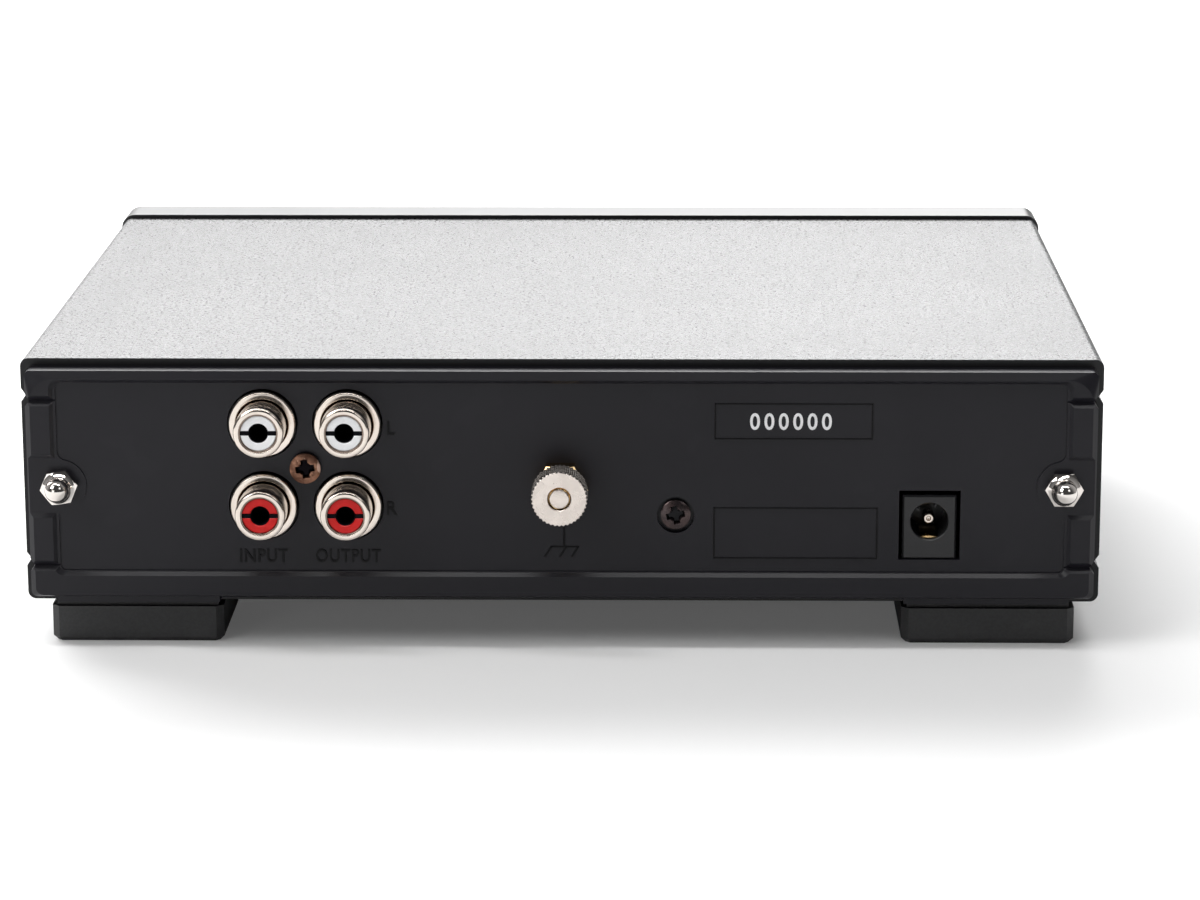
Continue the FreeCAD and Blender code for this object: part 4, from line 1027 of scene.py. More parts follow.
@dataclass
class PhonoSocket:
    """One phono socket: a plated shell with a collar and a barrel, and its coloured insulator."""

    name: str
    finish: Finish
    slot: str
    seat: float = 0.05
    fit: float = 0.02
    collar_radius: float = 5.6
    collar_front: float = 5.0
    collar_bevel: tuple[float, float] = (0.24, 0.35)
    shell_rounding: float = 0.09
    groove_radius: float = 4.42
    groove_depth: float = 0.9
    root_step: float = 0.1
    barrel_radius: float = 4.15
    barrel_front: float = 11.3
    mouth_radius: float = 3.24
    mouth_step: float = 0.16
    insulator_radius: float = 2.95
    insulator_back: float = 0.5
    insulator_front: float = 10.95
    insulator_edge: float = 0.12
    insulator_rounding: float = 0.05
    pin_hole: float = 1.65
    slot_height: float = 0.78
    slot_depth: float = 5.5
    core_wall: float = 0.12
    core_recess: float = 0.16
    core_lap: float = 0.05
    core_floor: float = 0.1
    blade_edge: float = 0.02
    core_steps: int = 64
    half_steps: int = 32
    # Painted shade: how deep into the root groove it reaches, its margins, and how dark it makes the mouth.
    groove_shade_reach: float = 1.0
    shade_margin: float = 0.05
    mouth_margin: float = 0.03
    mouth_shade: float = 0.8
    centre: Vector = field(default_factory=Vector)

    def build(self, panel_seat: float) -> None:
        """Builds the shell, the insulator, and the black lining and blade that paint the shade inside them.

        Args:
            panel_seat: The sleeve's rear end along Y, which the socket's sizes start from.
        """
        name = self.name
        self.centre = axis_point(f"{name}_shell", panel_seat)
        piece_from(self._shell(), f"{name}_barrel", NICKEL, replaced=f"{name}_shell")
        piece_from(self._insulator(), f"{name}_ring", self.finish, replaced=f"{name}_insulator")
        # A black lining and blade paint the shade inside the socket.
        piece_from(self._core(), f"{name}_core", SHADE_BLACK)

    def _shell(self) -> bpy.types.Mesh:
        """The plated shell, turned from its section with a root groove and a stepped mouth.

        Returns:
            The closed mesh, with its painted shade.
        """
        collar, groove, barrel = self.collar_radius, self.groove_radius, self.barrel_radius
        face, front = self.collar_front, self.barrel_front
        mouth, hole = self.mouth_radius, self.insulator_radius
        bevel, slope = self.collar_bevel
        root, step = barrel + self.root_step, front - self.mouth_step
        section = mm(
            (hole + self.fit, self.seat), (collar, self.seat), (collar, face - slope),
            (collar - bevel, face), (groove + 0.07, face), (groove, face - 0.08),
            (groove, face - self.groove_depth), (root, face - self.groove_depth), (root, face - 0.25),
            (barrel, face - 0.1), (barrel, front - 0.40), (barrel - 0.10, front - 0.14),
            (barrel - 0.34, front), (mouth + 0.06, front), (mouth, front - 0.06), (mouth, step),
            (hole + 0.12, step), (hole + self.fit, front - 0.26),
        )
        return paint_shade_by(turned(rounded(section, self.shell_rounding * MM, 3), self.centre), self._soot)

    def _soot(self, place: Vector) -> float:
        """Painted shade in the groove round the barrel's root and on the step in its mouth.

        Args:
            place: A place on the shell.

        Returns:
            How much painted shade it gets, 0 to 1.
        """
        away = math.hypot(place.x - self.centre.x, place.z - self.centre.z) / MM
        along = (place.y - self.centre.y) / MM
        margin = self.shade_margin
        deep = self.collar_front - self.groove_shade_reach < along < self.collar_front - margin
        if deep and self.barrel_radius < away < self.groove_radius + margin:
            return 1.0
        in_mouth = away < self.mouth_radius + self.mouth_margin and along < self.barrel_front - margin
        return self.mouth_shade if in_mouth else 0.0

    def _core(self) -> bpy.types.Mesh:
        """A black lining of the hole and a black blade between the halves, which paint the shade inside.

        Returns:
            The mesh of four closed parts.
        """
        front = self.insulator_front - self.core_recess
        root = self.insulator_front - self.slot_depth
        inner = self.pin_hole - self.core_wall
        lining = mm((inner, root), (self.pin_hole, root), (self.pin_hole, front), (inner, front))
        edge, top = inner + self.core_lap, root + self.core_floor
        floor = mm((0.0, root), (edge, root), (edge, top), (0.0, top))
        parts = [turned(section, self.centre, self.core_steps) for section in (lining, floor)]
        half = self.slot_height / 2
        for near, far in (
            (inner + self.fit, self.insulator_radius), (-self.insulator_radius, -inner - self.fit),
        ):
            low = self.centre + Vector((near, root, -half)) * MM
            high = self.centre + Vector((far, front, half)) * MM
            parts.append(bevelled_block(low, high, self.blade_edge * MM, 1))
        return joined(parts, f"{self.name}_core")

    def _insulator(self) -> bpy.types.Mesh:
        """The insulator: a base ring and two half rings with the slot between them.

        Returns:
            The mesh of three closed parts.
        """
        root = self.insulator_front - self.slot_depth
        section = mm(
            (self.pin_hole, self.insulator_back), (self.insulator_radius, self.insulator_back),
            (self.insulator_radius, root), (self.pin_hole, root),
        )
        base = turned(rounded(section, self.insulator_rounding * MM), self.centre)
        halves = [self._half_ring(root, side) for side in (1.0, -1.0)]
        return joined([base, *halves], f"{self.name}_ring")

    def _half_ring(self, root: float, side: float) -> bpy.types.Mesh:
        """One half of the insulator's front.

        Args:
            root: Where it starts along the socket.
            side: 1 for the half above the slot, -1 for the one below it.

        Returns:
            The closed mesh.
        """
        outer, inner, half = self.insulator_radius, self.pin_hole, self.slot_height / 2
        points = []
        for radius, order in ((outer, 1), (inner, -1)):
            start = math.asin(half / radius)
            steps = range(self.half_steps + 1)
            turns = [start + (math.pi - 2 * start) * i / self.half_steps for i in steps][::order]
            points += [(radius * math.cos(turn), radius * math.sin(turn) * side) for turn in turns]
        shape = bmesh.new()
        rings = []
        for along, inset in (
            (root - self.fit, 0.0),
            (self.insulator_front - self.insulator_edge, 0.0),
            (self.insulator_front, self.insulator_edge),
        ):
            ring = []
            for x, z in points:
                radius = math.hypot(x, z)
                shift = -inset if radius > (outer + inner) / 2 else inset
                scale = (radius + shift) / radius
                lifted = math.copysign(max(abs(z * scale), half + inset), z)
                ring.append(shape.verts.new(self.centre + Vector((x * scale, along, lifted)) * MM))
            rings.append(ring)
        skin(shape, rings)
        return closed_mesh(shape, "half_ring")


@dataclass
class RecessedScrew:
    """A round-headed screw with a cross recess."""

    node: str
    finish: Finish
    slot: str
    turn: float
    crown: float = 0.55
    dome: float = 0.93
    arm_length: float = 0.62
    arm_width: float = 0.19
    arm_swell: float = 1.15
    arm_slope: float = 0.30
    end_slope: float = 0.22
    hub: float = 0.44
    hub_slope: float = 0.14
    recess_depth: float = 0.95
    tick_depth: float = 0.10
    tick_half: float = 0.05
    tick_span: tuple[float, float] = (0.42, 0.72)
    recess: Recess = Recess.CROSS
    head_depth: float = 1.4
    shank: float = 0.62
    # Painted shade: how strongly it darkens the cross, and where under the head it starts and how far it
    # runs.
    shade_gain: float = 1.4
    rim_shade: tuple[float, float] = (1.1, 0.2)
    around: int = 144
    out: int = 44
    radius: float = field(init=False)
    centre: Vector = field(init=False)

    def build(self) -> None:
        """Builds the head over the CAD screw's own head and shank."""
        low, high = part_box(self.node)
        self.radius = half_width(self.node)
        self.centre = axis_point(self.node, high.y)
        head = self._head(low.y - high.y)
        piece_from(head, f"{self.node}_head", self.finish, replaced=self.node)

    def _in_cross(self, x: float, z: float) -> tuple[float, float]:
        """A place across the head, turned into the directions of the cross."""
        turn_x, turn_z = math.cos(self.turn), math.sin(self.turn)
        return x * turn_x + z * turn_z, z * turn_x - x * turn_z

    def _cut(self, x: float, z: float) -> float:
        """How deep the cross is at a place.

        Args:
            x: Across, from the screw's axis.
            z: Up, from the screw's axis.

        Returns:
            The share of its full depth, 0 to 1.
        """
        reach, half = self.arm_length * self.radius, self.arm_width * self.radius
        cuts = [(self.hub * self.radius - math.hypot(x, z)) / (self.hub_slope * self.radius)]
        turned_x, turned_z = self._in_cross(x, z)
        for along, across in ((turned_x, turned_z), (turned_z, turned_x)):
            side = (half * self.arm_swell - abs(across)) / (self.arm_slope * half)
            cuts.append(min(side, (reach - abs(along)) / (self.end_slope * reach)))
        return min(1.0, max(0.0, *cuts))

    def _drop(self, x: float, z: float) -> float:
        """How far the head's surface is below its highest point, with the cross cut in.

        Args:
            x: Across, from the screw's axis.
            z: Up, from the screw's axis.

        Returns:
            The depth in metres.
        """
        away = self.dome * math.hypot(x, z) / self.radius
        dome = self.crown * (1.0 - math.sqrt(max(0.0, 1.0 - away**2)))
        depth = self._cut(x, z) * self.recess_depth
        if self.recess is Recess.CROSS_WITH_TICKS:
            depth = max(depth, self._tick(*self._in_cross(x, z)))
        return (dome + depth) * MM

    def _tick(self, x: float, z: float) -> float:
        """The shallow mark between two arms of the cross.

        Args:
            x: Along one arm of the cross.
            z: Along the other.

        Returns:
            Its depth in millimetres.
        """
        along, across = abs(x + z) / math.sqrt(2), abs(x - z) / math.sqrt(2)
        near, far = (share * self.radius for share in self.tick_span)
        inside = across < self.tick_half * self.radius and near < along < far
        return self.tick_depth if inside else 0.0

    def _head(self, back: float) -> bpy.types.Mesh:
        """The head's surface as a fine polar net, closed by its rim, its seat and its shank.

        Args:
            back: The shank's end along Y, from the head's highest point.

        Returns:
            The closed mesh, with its painted shade.
        """
        shape = bmesh.new()
        rings = []
        for index in range(self.out + 1):
            reach = self.radius * index / self.out

            def surface(turn: float) -> float:
                """The head's face on this ring in one direction."""
                return -self._drop(reach * math.cos(turn), reach * math.sin(turn))

            rings.append(ring_at(shape, self.centre, self.around if index else 1, reach, surface))
        seat = -self.head_depth * MM
        for reach, along in (
            (self.radius, seat), (self.radius * self.shank, seat), (self.radius * self.shank, back),
        ):
            rings.append(ring_at(shape, self.centre, self.around, reach, along))
        skin(shape, rings)
        return paint_shade_by(closed_mesh(shape, "screw_head"), self._soot)

    def _soot(self, place: Vector) -> float:
        """Painted shade in the cross and on the rim under the head."""
        offset, (start, reach) = place - self.centre, self.rim_shade
        return max(self.shade_gain * self._cut(offset.x, offset.z), (-start - offset.y / MM) / reach)


@dataclass
class DomeNut:
    """A plated dome nut: a chamfered hexagon with a smooth dome on it."""

    node: str
    lean: float
    across: float = 5.5
    hexagon: float = 2.4
    chamfer: float = 0.22
    dome_radius: float = 2.0
    dome_steps: int = 18
    shoulder: float = 2.12
    cone: float = 0.5
    lip: float = 0.978
    lip_rise: float = 0.02
    overlap: float = 0.1
    dome_foot: float = 0.2
    around: int = 72

    def build(self) -> None:
        """Builds the nut over the CAD one."""
        low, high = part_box(self.node)
        centre = axis_point(self.node, low.y)
        brow = self.hexagon - self.cone
        body = hexagon_prism(
            self.across * MM, 0.0, brow * MM, self.chamfer * MM, math.pi / 6 + self.lean, 0.0, centre
        )
        dome = turned(self._dome_section(brow, (high.y - low.y) / MM), centre, self.around)
        whole = joined([body, dome], self.node)
        piece_from(whole, f"{self.node}_plated", CHROME, replaced=self.node)

    def _dome_section(self, brow: float, top: float) -> list[tuple[float, float]]:
        """The section of the dome and of the cone that it stands on.

        Args:
            brow: Where the cone starts, from the nut's seat.
            top: The dome's highest point.

        Returns:
            The section in metres, from the axis out and back to it.
        """
        lip = self.lip * self.across / 2
        floor = brow - self.overlap
        section = [(0.0, floor), (lip, floor), (lip, brow + self.lip_rise), (self.shoulder, self.hexagon)]
        section.append((self.dome_radius, self.hexagon + self.dome_foot))
        for step in range(self.dome_steps):
            turn = math.radians(90) * step / self.dome_steps
            rise = top - self.dome_radius * (1.0 - math.sin(turn))
            section.append((self.dome_radius * math.cos(turn), rise))
        return mm(*section, (0.0, top))


@dataclass
class KnurlPattern:
    """A band of small pyramids round an axis, made by a geometry tree."""

    radius: float
    pyramids: int
    rows: int
    row_pitch: float
    height: float
    overlap: float = 1.04
    tip_share: float = 0.16
    smallest: float = 0.9
    largest: float = 1.08
    seed: int = 4

    def tree(self, material: bpy.types.Material) -> bpy.types.GeometryNodeTree:
        """Builds the tree, with a named input for each size.

        Args:
            material: The material of the pyramids.

        Returns:
            The tree, which ends in Realize Instances and Set Material.
        """
        tree = bpy.data.node_groups.new("knurl_band", "GeometryNodeTree")
        for label, kind in (
            ("Radius", "Float"), ("Pyramids", "Int"), ("Rows", "Int"), ("Row Pitch", "Float"),
            ("Height", "Float"), ("Size", "Float"), ("Seed", "Int"),
        ):
            tree.interface.new_socket(name=label, in_out="INPUT", socket_type=f"NodeSocket{kind}")
        tree.interface.new_socket(name="Geometry", in_out="OUTPUT", socket_type="NodeSocketGeometry")
        given = tree.nodes.new("NodeGroupInput")
        scatter = add_node(
            tree, "GeometryNodeInstanceOnPoints",
            {
                "Points": self._grid_points(tree, given), "Instance": self._stud(tree, given),
                "Rotation": self._outwards(tree), "Scale": self._uneven(tree, given),
            },
        )
        solid = add_node(tree, "GeometryNodeRealizeInstances", {"Geometry": scatter.outputs["Instances"]})
        dressed = add_node(
            tree, "GeometryNodeSetMaterial",
            {"Geometry": solid.outputs["Geometry"], "Material": material},
        )
        feed(tree, tree.nodes.new("NodeGroupOutput").inputs["Geometry"], dressed.outputs["Geometry"])
        return tree

    def _grid_points(self, tree: Tree, given: Node) -> Socket:
        """Rings of points stacked along Z, each turned half a pitch against the last.

        Args:
            tree: The geometry tree.
            given: Its input node.

        Returns:
            The points.
        """
        circle = add_node(
            tree, "GeometryNodeMeshCircle",
            {"Vertices": given.outputs["Pyramids"], "Radius": given.outputs["Radius"]},
        )
        step = add_node(tree, "ShaderNodeCombineXYZ", {"Z": given.outputs["Row Pitch"]})
        line = add_node(
            tree, "GeometryNodeMeshLine",
            {"Count": given.outputs["Rows"], "Offset": step.outputs["Vector"]},
        )
        index = tree.nodes.new("GeometryNodeInputIndex").outputs["Index"]
        half_pitch = math_node(tree, "DIVIDE", math.pi, given.outputs["Pyramids"])
        turn = math_node(tree, "MULTIPLY", index, half_pitch)
        stagger = add_node(tree, "ShaderNodeCombineXYZ", {"Z": turn})
        rings = add_node(
            tree, "GeometryNodeInstanceOnPoints",
            {
                "Points": line.outputs["Mesh"], "Instance": circle.outputs["Mesh"],
                "Rotation": stagger.outputs["Vector"],
            },
        )
        real = add_node(tree, "GeometryNodeRealizeInstances", {"Geometry": rings.outputs["Instances"]})
        return real.outputs["Geometry"]

    def _stud(self, tree: Tree, given: Node) -> Socket:
        """One four-sided pyramid with its point outwards.

        Args:
            tree: The geometry tree.
            given: Its input node.

        Returns:
            The pyramid's mesh.
        """
        size = given.outputs["Size"]
        cone = add_node(
            tree, "GeometryNodeMeshCone",
            {
                "Vertices": 4, "Radius Top": math_node(tree, "MULTIPLY", size, self.tip_share),
                "Radius Bottom": size, "Depth": given.outputs["Height"],
            },
        )
        return cone.outputs["Mesh"]

    def _outwards(self, tree: Tree) -> Socket:
        """The rotation that points a pyramid away from the axis, with a corner along it.

        Args:
            tree: The geometry tree.

        Returns:
            The rotation.
        """
        place = tree.nodes.new("GeometryNodeInputPosition").outputs["Position"]
        flat = add_node(tree, "ShaderNodeVectorMath", {0: place, 1: (1.0, 1.0, 0.0)})
        flat.operation = "MULTIPLY"
        out = add_node(tree, "FunctionNodeAlignRotationToVector", {"Vector": flat.outputs["Vector"]})
        out.axis = "Z"
        corner = add_node(
            tree, "FunctionNodeAlignRotationToVector",
            {"Vector": (0.0, 0.0, 1.0), "Rotation": out.outputs["Rotation"]},
        )
        corner.axis = "X"
        corner.pivot_axis = "Z"
        return corner.outputs["Rotation"]

    def _uneven(self, tree: Tree, given: Node) -> Socket:
        """A slightly different size for each pyramid, as a knurling wheel leaves.

        Args:
            tree: The geometry tree.
            given: Its input node.

        Returns:
            The size.
        """
        chance = add_node(
            tree, "FunctionNodeRandomValue",
            {2: self.smallest, 3: self.largest, "Seed": given.outputs["Seed"]},
        )
        return chance.outputs[1]

    def mesh(self, material: bpy.types.Material) -> bpy.types.Mesh:
        """Runs the tree once.

        Args:
            material: The material of the pyramids.

        Returns:
            The band's plain mesh, along the Z axis.
        """
        holder = bpy.data.objects.new("knurl_maker", bpy.data.meshes.new("knurl_maker"))
        modifier = holder.modifiers.new("knurl", "NODES")
        modifier.node_group = self.tree(material)
        size = math.pi * self.radius / self.pyramids * self.overlap
        sizes = {
            "Radius": self.radius, "Pyramids": self.pyramids, "Rows": self.rows,
            "Row Pitch": self.row_pitch, "Height": self.height, "Size": size, "Seed": self.seed,
        }
        for item in modifier.node_group.interface.items_tree:
            if item.in_out == "INPUT":
                modifier[item.identifier] = sizes[item.name]
        return evaluated_mesh(holder)


@dataclass
class GroundTerminal:
    """The earth post, which has a clamp washer too: here its gold hexagon, its knurled thumb nut and its
    stud.
    """

    teeth: int = 40
    tooth_steps: int = 12
    rim_radius: float = 4.65
    face_depth: float = 0.45
    face_angle: float = math.radians(18)
    bore: float = 1.93
    bore_margin: float = 0.1
    core_bevel: float = 0.35
    core_rounding: float = 0.05
    core_length: float = 5.0
    knurl_rows: int = 9
    knurl_depth: float = 0.38
    knurl_lift: float = 0.10
    knurl_start: float = 0.5
    knurl_end: float = 0.55
    pyramid_height: float = 0.30
    # How far in from the rim the knurl's painted shade takes to reach full dark.
    shade_reach: float = 0.24
    hexagon_chamfer: float = 0.45
    hexagon_bore: float = 0.24
    stud: float = 1.58
    stud_rounding: float = 0.04
    thread: float = 1.86
    worn_turn: float = math.radians(112)
    worn_power: int = 6
    centre: Vector = field(init=False)
    front: float = field(init=False)
    back: float = field(init=False)

    def build(self) -> None:
        """Builds the nut, the hexagon and the face of the stud."""
        low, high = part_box("ground_thumb_nut")
        self.front, self.back = high.y, low.y
        self.centre = axis_point("ground_thumb_nut", 0.0)
        self._thumb_nut()
        self._base_nut()
        self._stud_end()

    def _on_axis(self, along: float) -> Vector:
        """A point on the terminal's axis."""
        return Vector((self.centre.x, along, self.centre.z))

    def _thumb_nut(self) -> None:
        """The toothed face and the turned core of the nut, with the knurl on it."""
        piece_from(self._toothed_face(), "ground_nut_face", NUT_FACE, Body.NUT)
        core = self.rim_radius - self.knurl_depth
        section = mm(
            (self.bore, 0.0), (core - self.core_bevel, 0.0), (core, self.core_bevel),
            (core, self.core_length), (self.bore, self.core_length),
        )
        span = self.front - self.back - (self.face_depth + self.knurl_end) * MM
        pattern = KnurlPattern(
            radius=(core + self.knurl_lift) * MM, pyramids=self.teeth, rows=self.knurl_rows,
            row_pitch=span / (self.knurl_rows - 1), height=self.pyramid_height * MM,
        )
        band = pattern.mesh(PAINT.get(KNURL_METAL))
        start = Matrix.Translation(self._on_axis(self.back + self.knurl_start * MM))
        band.transform(start @ Matrix.Rotation(math.radians(-90), 4, "X"))
        body = turned(rounded(section, self.core_rounding * MM), self._on_axis(self.back))
        whole = joined([body, band], "knurl")
        # The knurl's colour is darkened towards its roots by painted shade.
        knurl = piece_from(
            paint_shade_by(whole, self._knurl_painted_shade), "ground_nut_knurl", KNURL_METAL, Body.NUT,
            replaced="ground_thumb_nut",
        )
        for polygon in knurl.data.polygons:
            polygon.use_smooth = False

    def _knurl_painted_shade(self, place: Vector) -> float:
        """Painted shade at the roots of the knurl, none at its points.

        Args:
            place: A place on the nut.

        Returns:
            How much painted shade it gets, before it is held between 0 and 1.
        """
        away = math.hypot(place.x - self.centre.x, place.z - self.centre.z) / MM
        outside = away > self.bore + self.bore_margin
        return (self.rim_radius - away) / self.shade_reach if outside else 0.0

    def _toothed(self, radius: float, wave: float) -> Callable[[float], float]:
        """A radius in metres that dips between the teeth, as a function of the direction."""
        return lambda turn: (radius - wave * (0.5 - 0.5 * math.cos(turn * self.teeth))) * MM

    def _toothed_face(self) -> bpy.types.Mesh:
        """The nut's front: a disc with small teeth round it and a chamfered hole.

        Returns:
            The closed mesh.
        """
        rim, depth, bore = self.rim_radius, self.face_depth, self.bore
        section = (
            (bore, depth, 0.0), (rim - 0.45, depth, 0.0), (rim, depth, 0.24), (rim, 0.22, 0.22),
            (rim - 0.05, 0.10, 0.18), (rim - 0.25, 0.0, 0.0), (rim - 0.29, 0.0, 0.0),
            (bore + 0.14, 0.0, 0.0), (bore + 0.10, 0.0, 0.0), (bore, 0.12, 0.0),
        )
        shape = bmesh.new()
        around = self.teeth * self.tooth_steps
        rings = [
            ring_at(shape, self._on_axis(self.front), around, self._toothed(radius, wave), -drop * MM)
            for radius, drop, wave in section
        ]
        skin(shape, rings, closed=True)
        mesh = closed_mesh(shape, "nut_face")
        shade(mesh, self.face_angle)
        return mesh

    def _base_nut(self) -> None:
        """The gold hexagon that holds the stud to the panel."""
        low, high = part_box("ground_base_nut")
        across = high.z - low.z
        hexagon = hexagon_prism(
            across, low.y, high.y, self.hexagon_chamfer * MM, math.pi / 6, self.hexagon_bore * across,
            self.centre,
        )
        piece_from(hexagon, "ground_hexagon", BRASS_GOLD, replaced="ground_base_nut")

    def _stud_end(self) -> None:
        """The stud, with its bevelled end and the gold groove round it."""
        low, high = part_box("ground_stud")
        length = (high.y - low.y) / MM
        section = mm(
            (0.0, 0.0), (1.72, 0.0), (1.85, 0.25), (1.85, length - 0.7), (self.stud + 0.05, length - 0.32),
            (self.stud, length - 0.08), (self.stud - 0.10, length - 0.02), (0.0, length - 0.02),
        )
        stud = turned(rounded(section, self.stud_rounding * MM), self._on_axis(low.y))
        piece_from(stud, "ground_post", NUT_FACE, replaced="ground_stud")
        piece_from(self._thread_end(high.y), "ground_thread", BRASS_GOLD)

    def _worn(self, drop: float, rise: float) -> Callable[[float], float]:
        """A depth in metres that rises on two opposite sides.

        Args:
            drop: Its lowest value, in millimetres.
            rise: How much higher it is on the two sides.

        Returns:
            The function that gives it for each direction.
        """

        def depth(turn: float) -> float:
            """The depth in one direction."""
            side = max(0.0, math.cos(2.0 * (turn - self.worn_turn)))
            return (drop + rise * side**self.worn_power) * MM

        return depth

    def _thread_end(self, tip: float) -> bpy.types.Mesh:
        """The worn gold start of the stud's thread.

        Args:
            tip: The stud's end along Y.

        Returns:
            The closed mesh of a low ring that is higher on two sides.
        """
        section = (
            (self.stud - 0.02, -1.3, 0.0), (self.thread, -1.3, 0.0), (self.thread, -0.62, 0.20),
            (self.stud + 0.12, -0.40, 0.20), (self.stud - 0.02, -0.36, 0.20),
        )
        shape = bmesh.new()
        rings = [
            ring_at(shape, self._on_axis(tip), TURN_STEPS, radius * MM, self._worn(drop, rise))
            for radius, drop, rise in section
        ]
        skin(shape, rings, closed=True)
        return closed_mesh(shape, "thread_end")


@dataclass
class PowerInlet:
    """The round power inlet: a moulded block with a ribbed bore, its pin and its leaf."""

    pin_radius: float = 1.0
    pin_steps: int = 64
    pin_rounding: float = 0.06
    bore_radius: float = 3.15
    bore_depth: float = 9.5
    bore_edge: float = 0.12
    edge: float = 0.32
    points_per_side: int = 24
    rib_turns: tuple[float, ...] = (46.0, 110.0)
    rib_rise: float = 0.62
    rib_root: float = 0.2
    rib_half: float = 0.13
    rib_front: float = 0.06
    rib_edge: float = 0.05
    leaf_half: float = 1.45
    leaf_thickness: float = 0.26
    leaf_run: Profile = (
        (-0.9, -2.92), (-1.15, -2.78), (-2.6, -2.62), (-4.8, -2.40), (-7.0, -2.62), (-8.6, -2.92),
    )
    axis: Vector = field(init=False)

    def build(self) -> None:
        """Builds the housing, the leaf contact and the hollow-ended pin."""
        self.axis = axis_point("power_inlet_pin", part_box("power_inlet_housing")[1].y)
        piece_from(
            self._housing(), "inlet_block", BLACK_MOULDING,
            replaced="power_inlet_housing",
        )
        piece_from(self._leaf(), "inlet_leaf", BRASS_GOLD, replaced="power_inlet_leaf")
        piece_from(self._pin(), "inlet_pin", NICKEL, replaced="power_inlet_pin")

    def _pin(self) -> bpy.types.Mesh:
        """The centre pin, with its hollow end.

        Returns:
            The closed mesh.
        """
        low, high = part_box("power_inlet_pin")
        length = (high.y - low.y) / MM
        section = mm(
            (0.0, 0.0), (self.pin_radius, 0.0), (self.pin_radius, length - 0.30),
            (self.pin_radius - 0.28, length), (0.40, length), (0.30, length - 0.45), (0.0, length - 0.50),
        )
        start = Vector((self.axis.x, low.y, self.axis.z))
        return turned(rounded(section, self.pin_rounding * MM, 3), start, self.pin_steps)

    def _outline(self, inset: float) -> list[Vector]:
        """Points round the housing's front, corners included.

        Args:
            inset: How far inside the housing's sides they lie.

        Returns:
            Their offsets from the bore's axis.
        """
        low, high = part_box("power_inlet_housing")
        left, right = low.x - self.axis.x + inset, high.x - self.axis.x - inset
        bottom, top = low.z - self.axis.z + inset, high.z - self.axis.z - inset
        corners = [Vector(c) for c in ((left, bottom), (right, bottom), (right, top), (left, top))]
        points = []
        for start, end in zip(corners, corners[1:] + corners[:1]):
            points += [start.lerp(end, i / self.points_per_side) for i in range(self.points_per_side)]
        return points

    def _housing(self) -> bpy.types.Mesh:
        """The moulded block with its round bore and the ribs in it.

        Returns:
            The mesh of the block and its ribs, each closed.
        """
        shape = bmesh.new()
        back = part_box("power_inlet_housing")[0].y - self.axis.y
        outline, inset = self._outline(0.0), self._outline(self.edge * MM)

        def level(points: Iterable[Vector], along: float) -> Ring:
            """A ring through points across the inlet, at one distance along it."""
            return [shape.verts.new(self.axis + Vector((p.x, along, p.y))) for p in points]

        def circle(radius: float, along: float) -> Ring:
            """A ring on the bore, with a vertex towards each outline point."""
            return level([p.normalized() * radius * MM for p in outline], along)

        bore, floor = self.bore_radius, -self.bore_depth * MM
        pole = [Vector((0.0, 0.0))]
        rings = [
            level(pole, floor), circle(bore, floor), circle(bore, -self.bore_edge * MM),
            circle(bore + self.bore_edge, 0.0), level(inset, 0.0), level(outline, -self.edge * MM),
            level(outline, back), level(pole, back),
        ]
        skin(shape, rings)
        ribs = (self._rib(math.radians(turn)) for turn in self.rib_turns)
        return joined([closed_mesh(shape, "inlet_block"), *ribs], "inlet_block")

    def _rib(self, turn: float) -> bpy.types.Mesh:
        """A low rib along the bore, which narrows the way in for the plug.

        Args:
            turn: Its direction from the bore's axis.

        Returns:
            The closed mesh.
        """
        low = Vector((self.bore_radius - self.rib_rise, -self.bore_depth, -self.rib_half)) * MM
        high = Vector((self.bore_radius + self.rib_root, -self.rib_front, self.rib_half)) * MM
        mesh = bevelled_block(low, high, self.rib_edge * MM, 2)
        mesh.transform(Matrix.Translation(self.axis) @ Matrix.Rotation(-turn, 4, "Y"))
        return mesh

    def _leaf(self) -> bpy.types.Mesh:
        """The leaf contact on the floor of the bore, bowed upwards in its middle.

        Returns:
            The closed mesh.
        """
        shape = bmesh.new()
        half, thick = self.leaf_half, self.leaf_thickness / 2
        loops = []
        for along, height in self.leaf_run:
            corners = ((-half, -thick), (half, -thick), (half, thick), (-half, thick))
            loops.append([
                shape.verts.new(self.axis + Vector((x, along, height + z)) * MM) for x, z in corners
            ])
        skin(shape, loops)
        return closed_mesh(shape, "leaf")


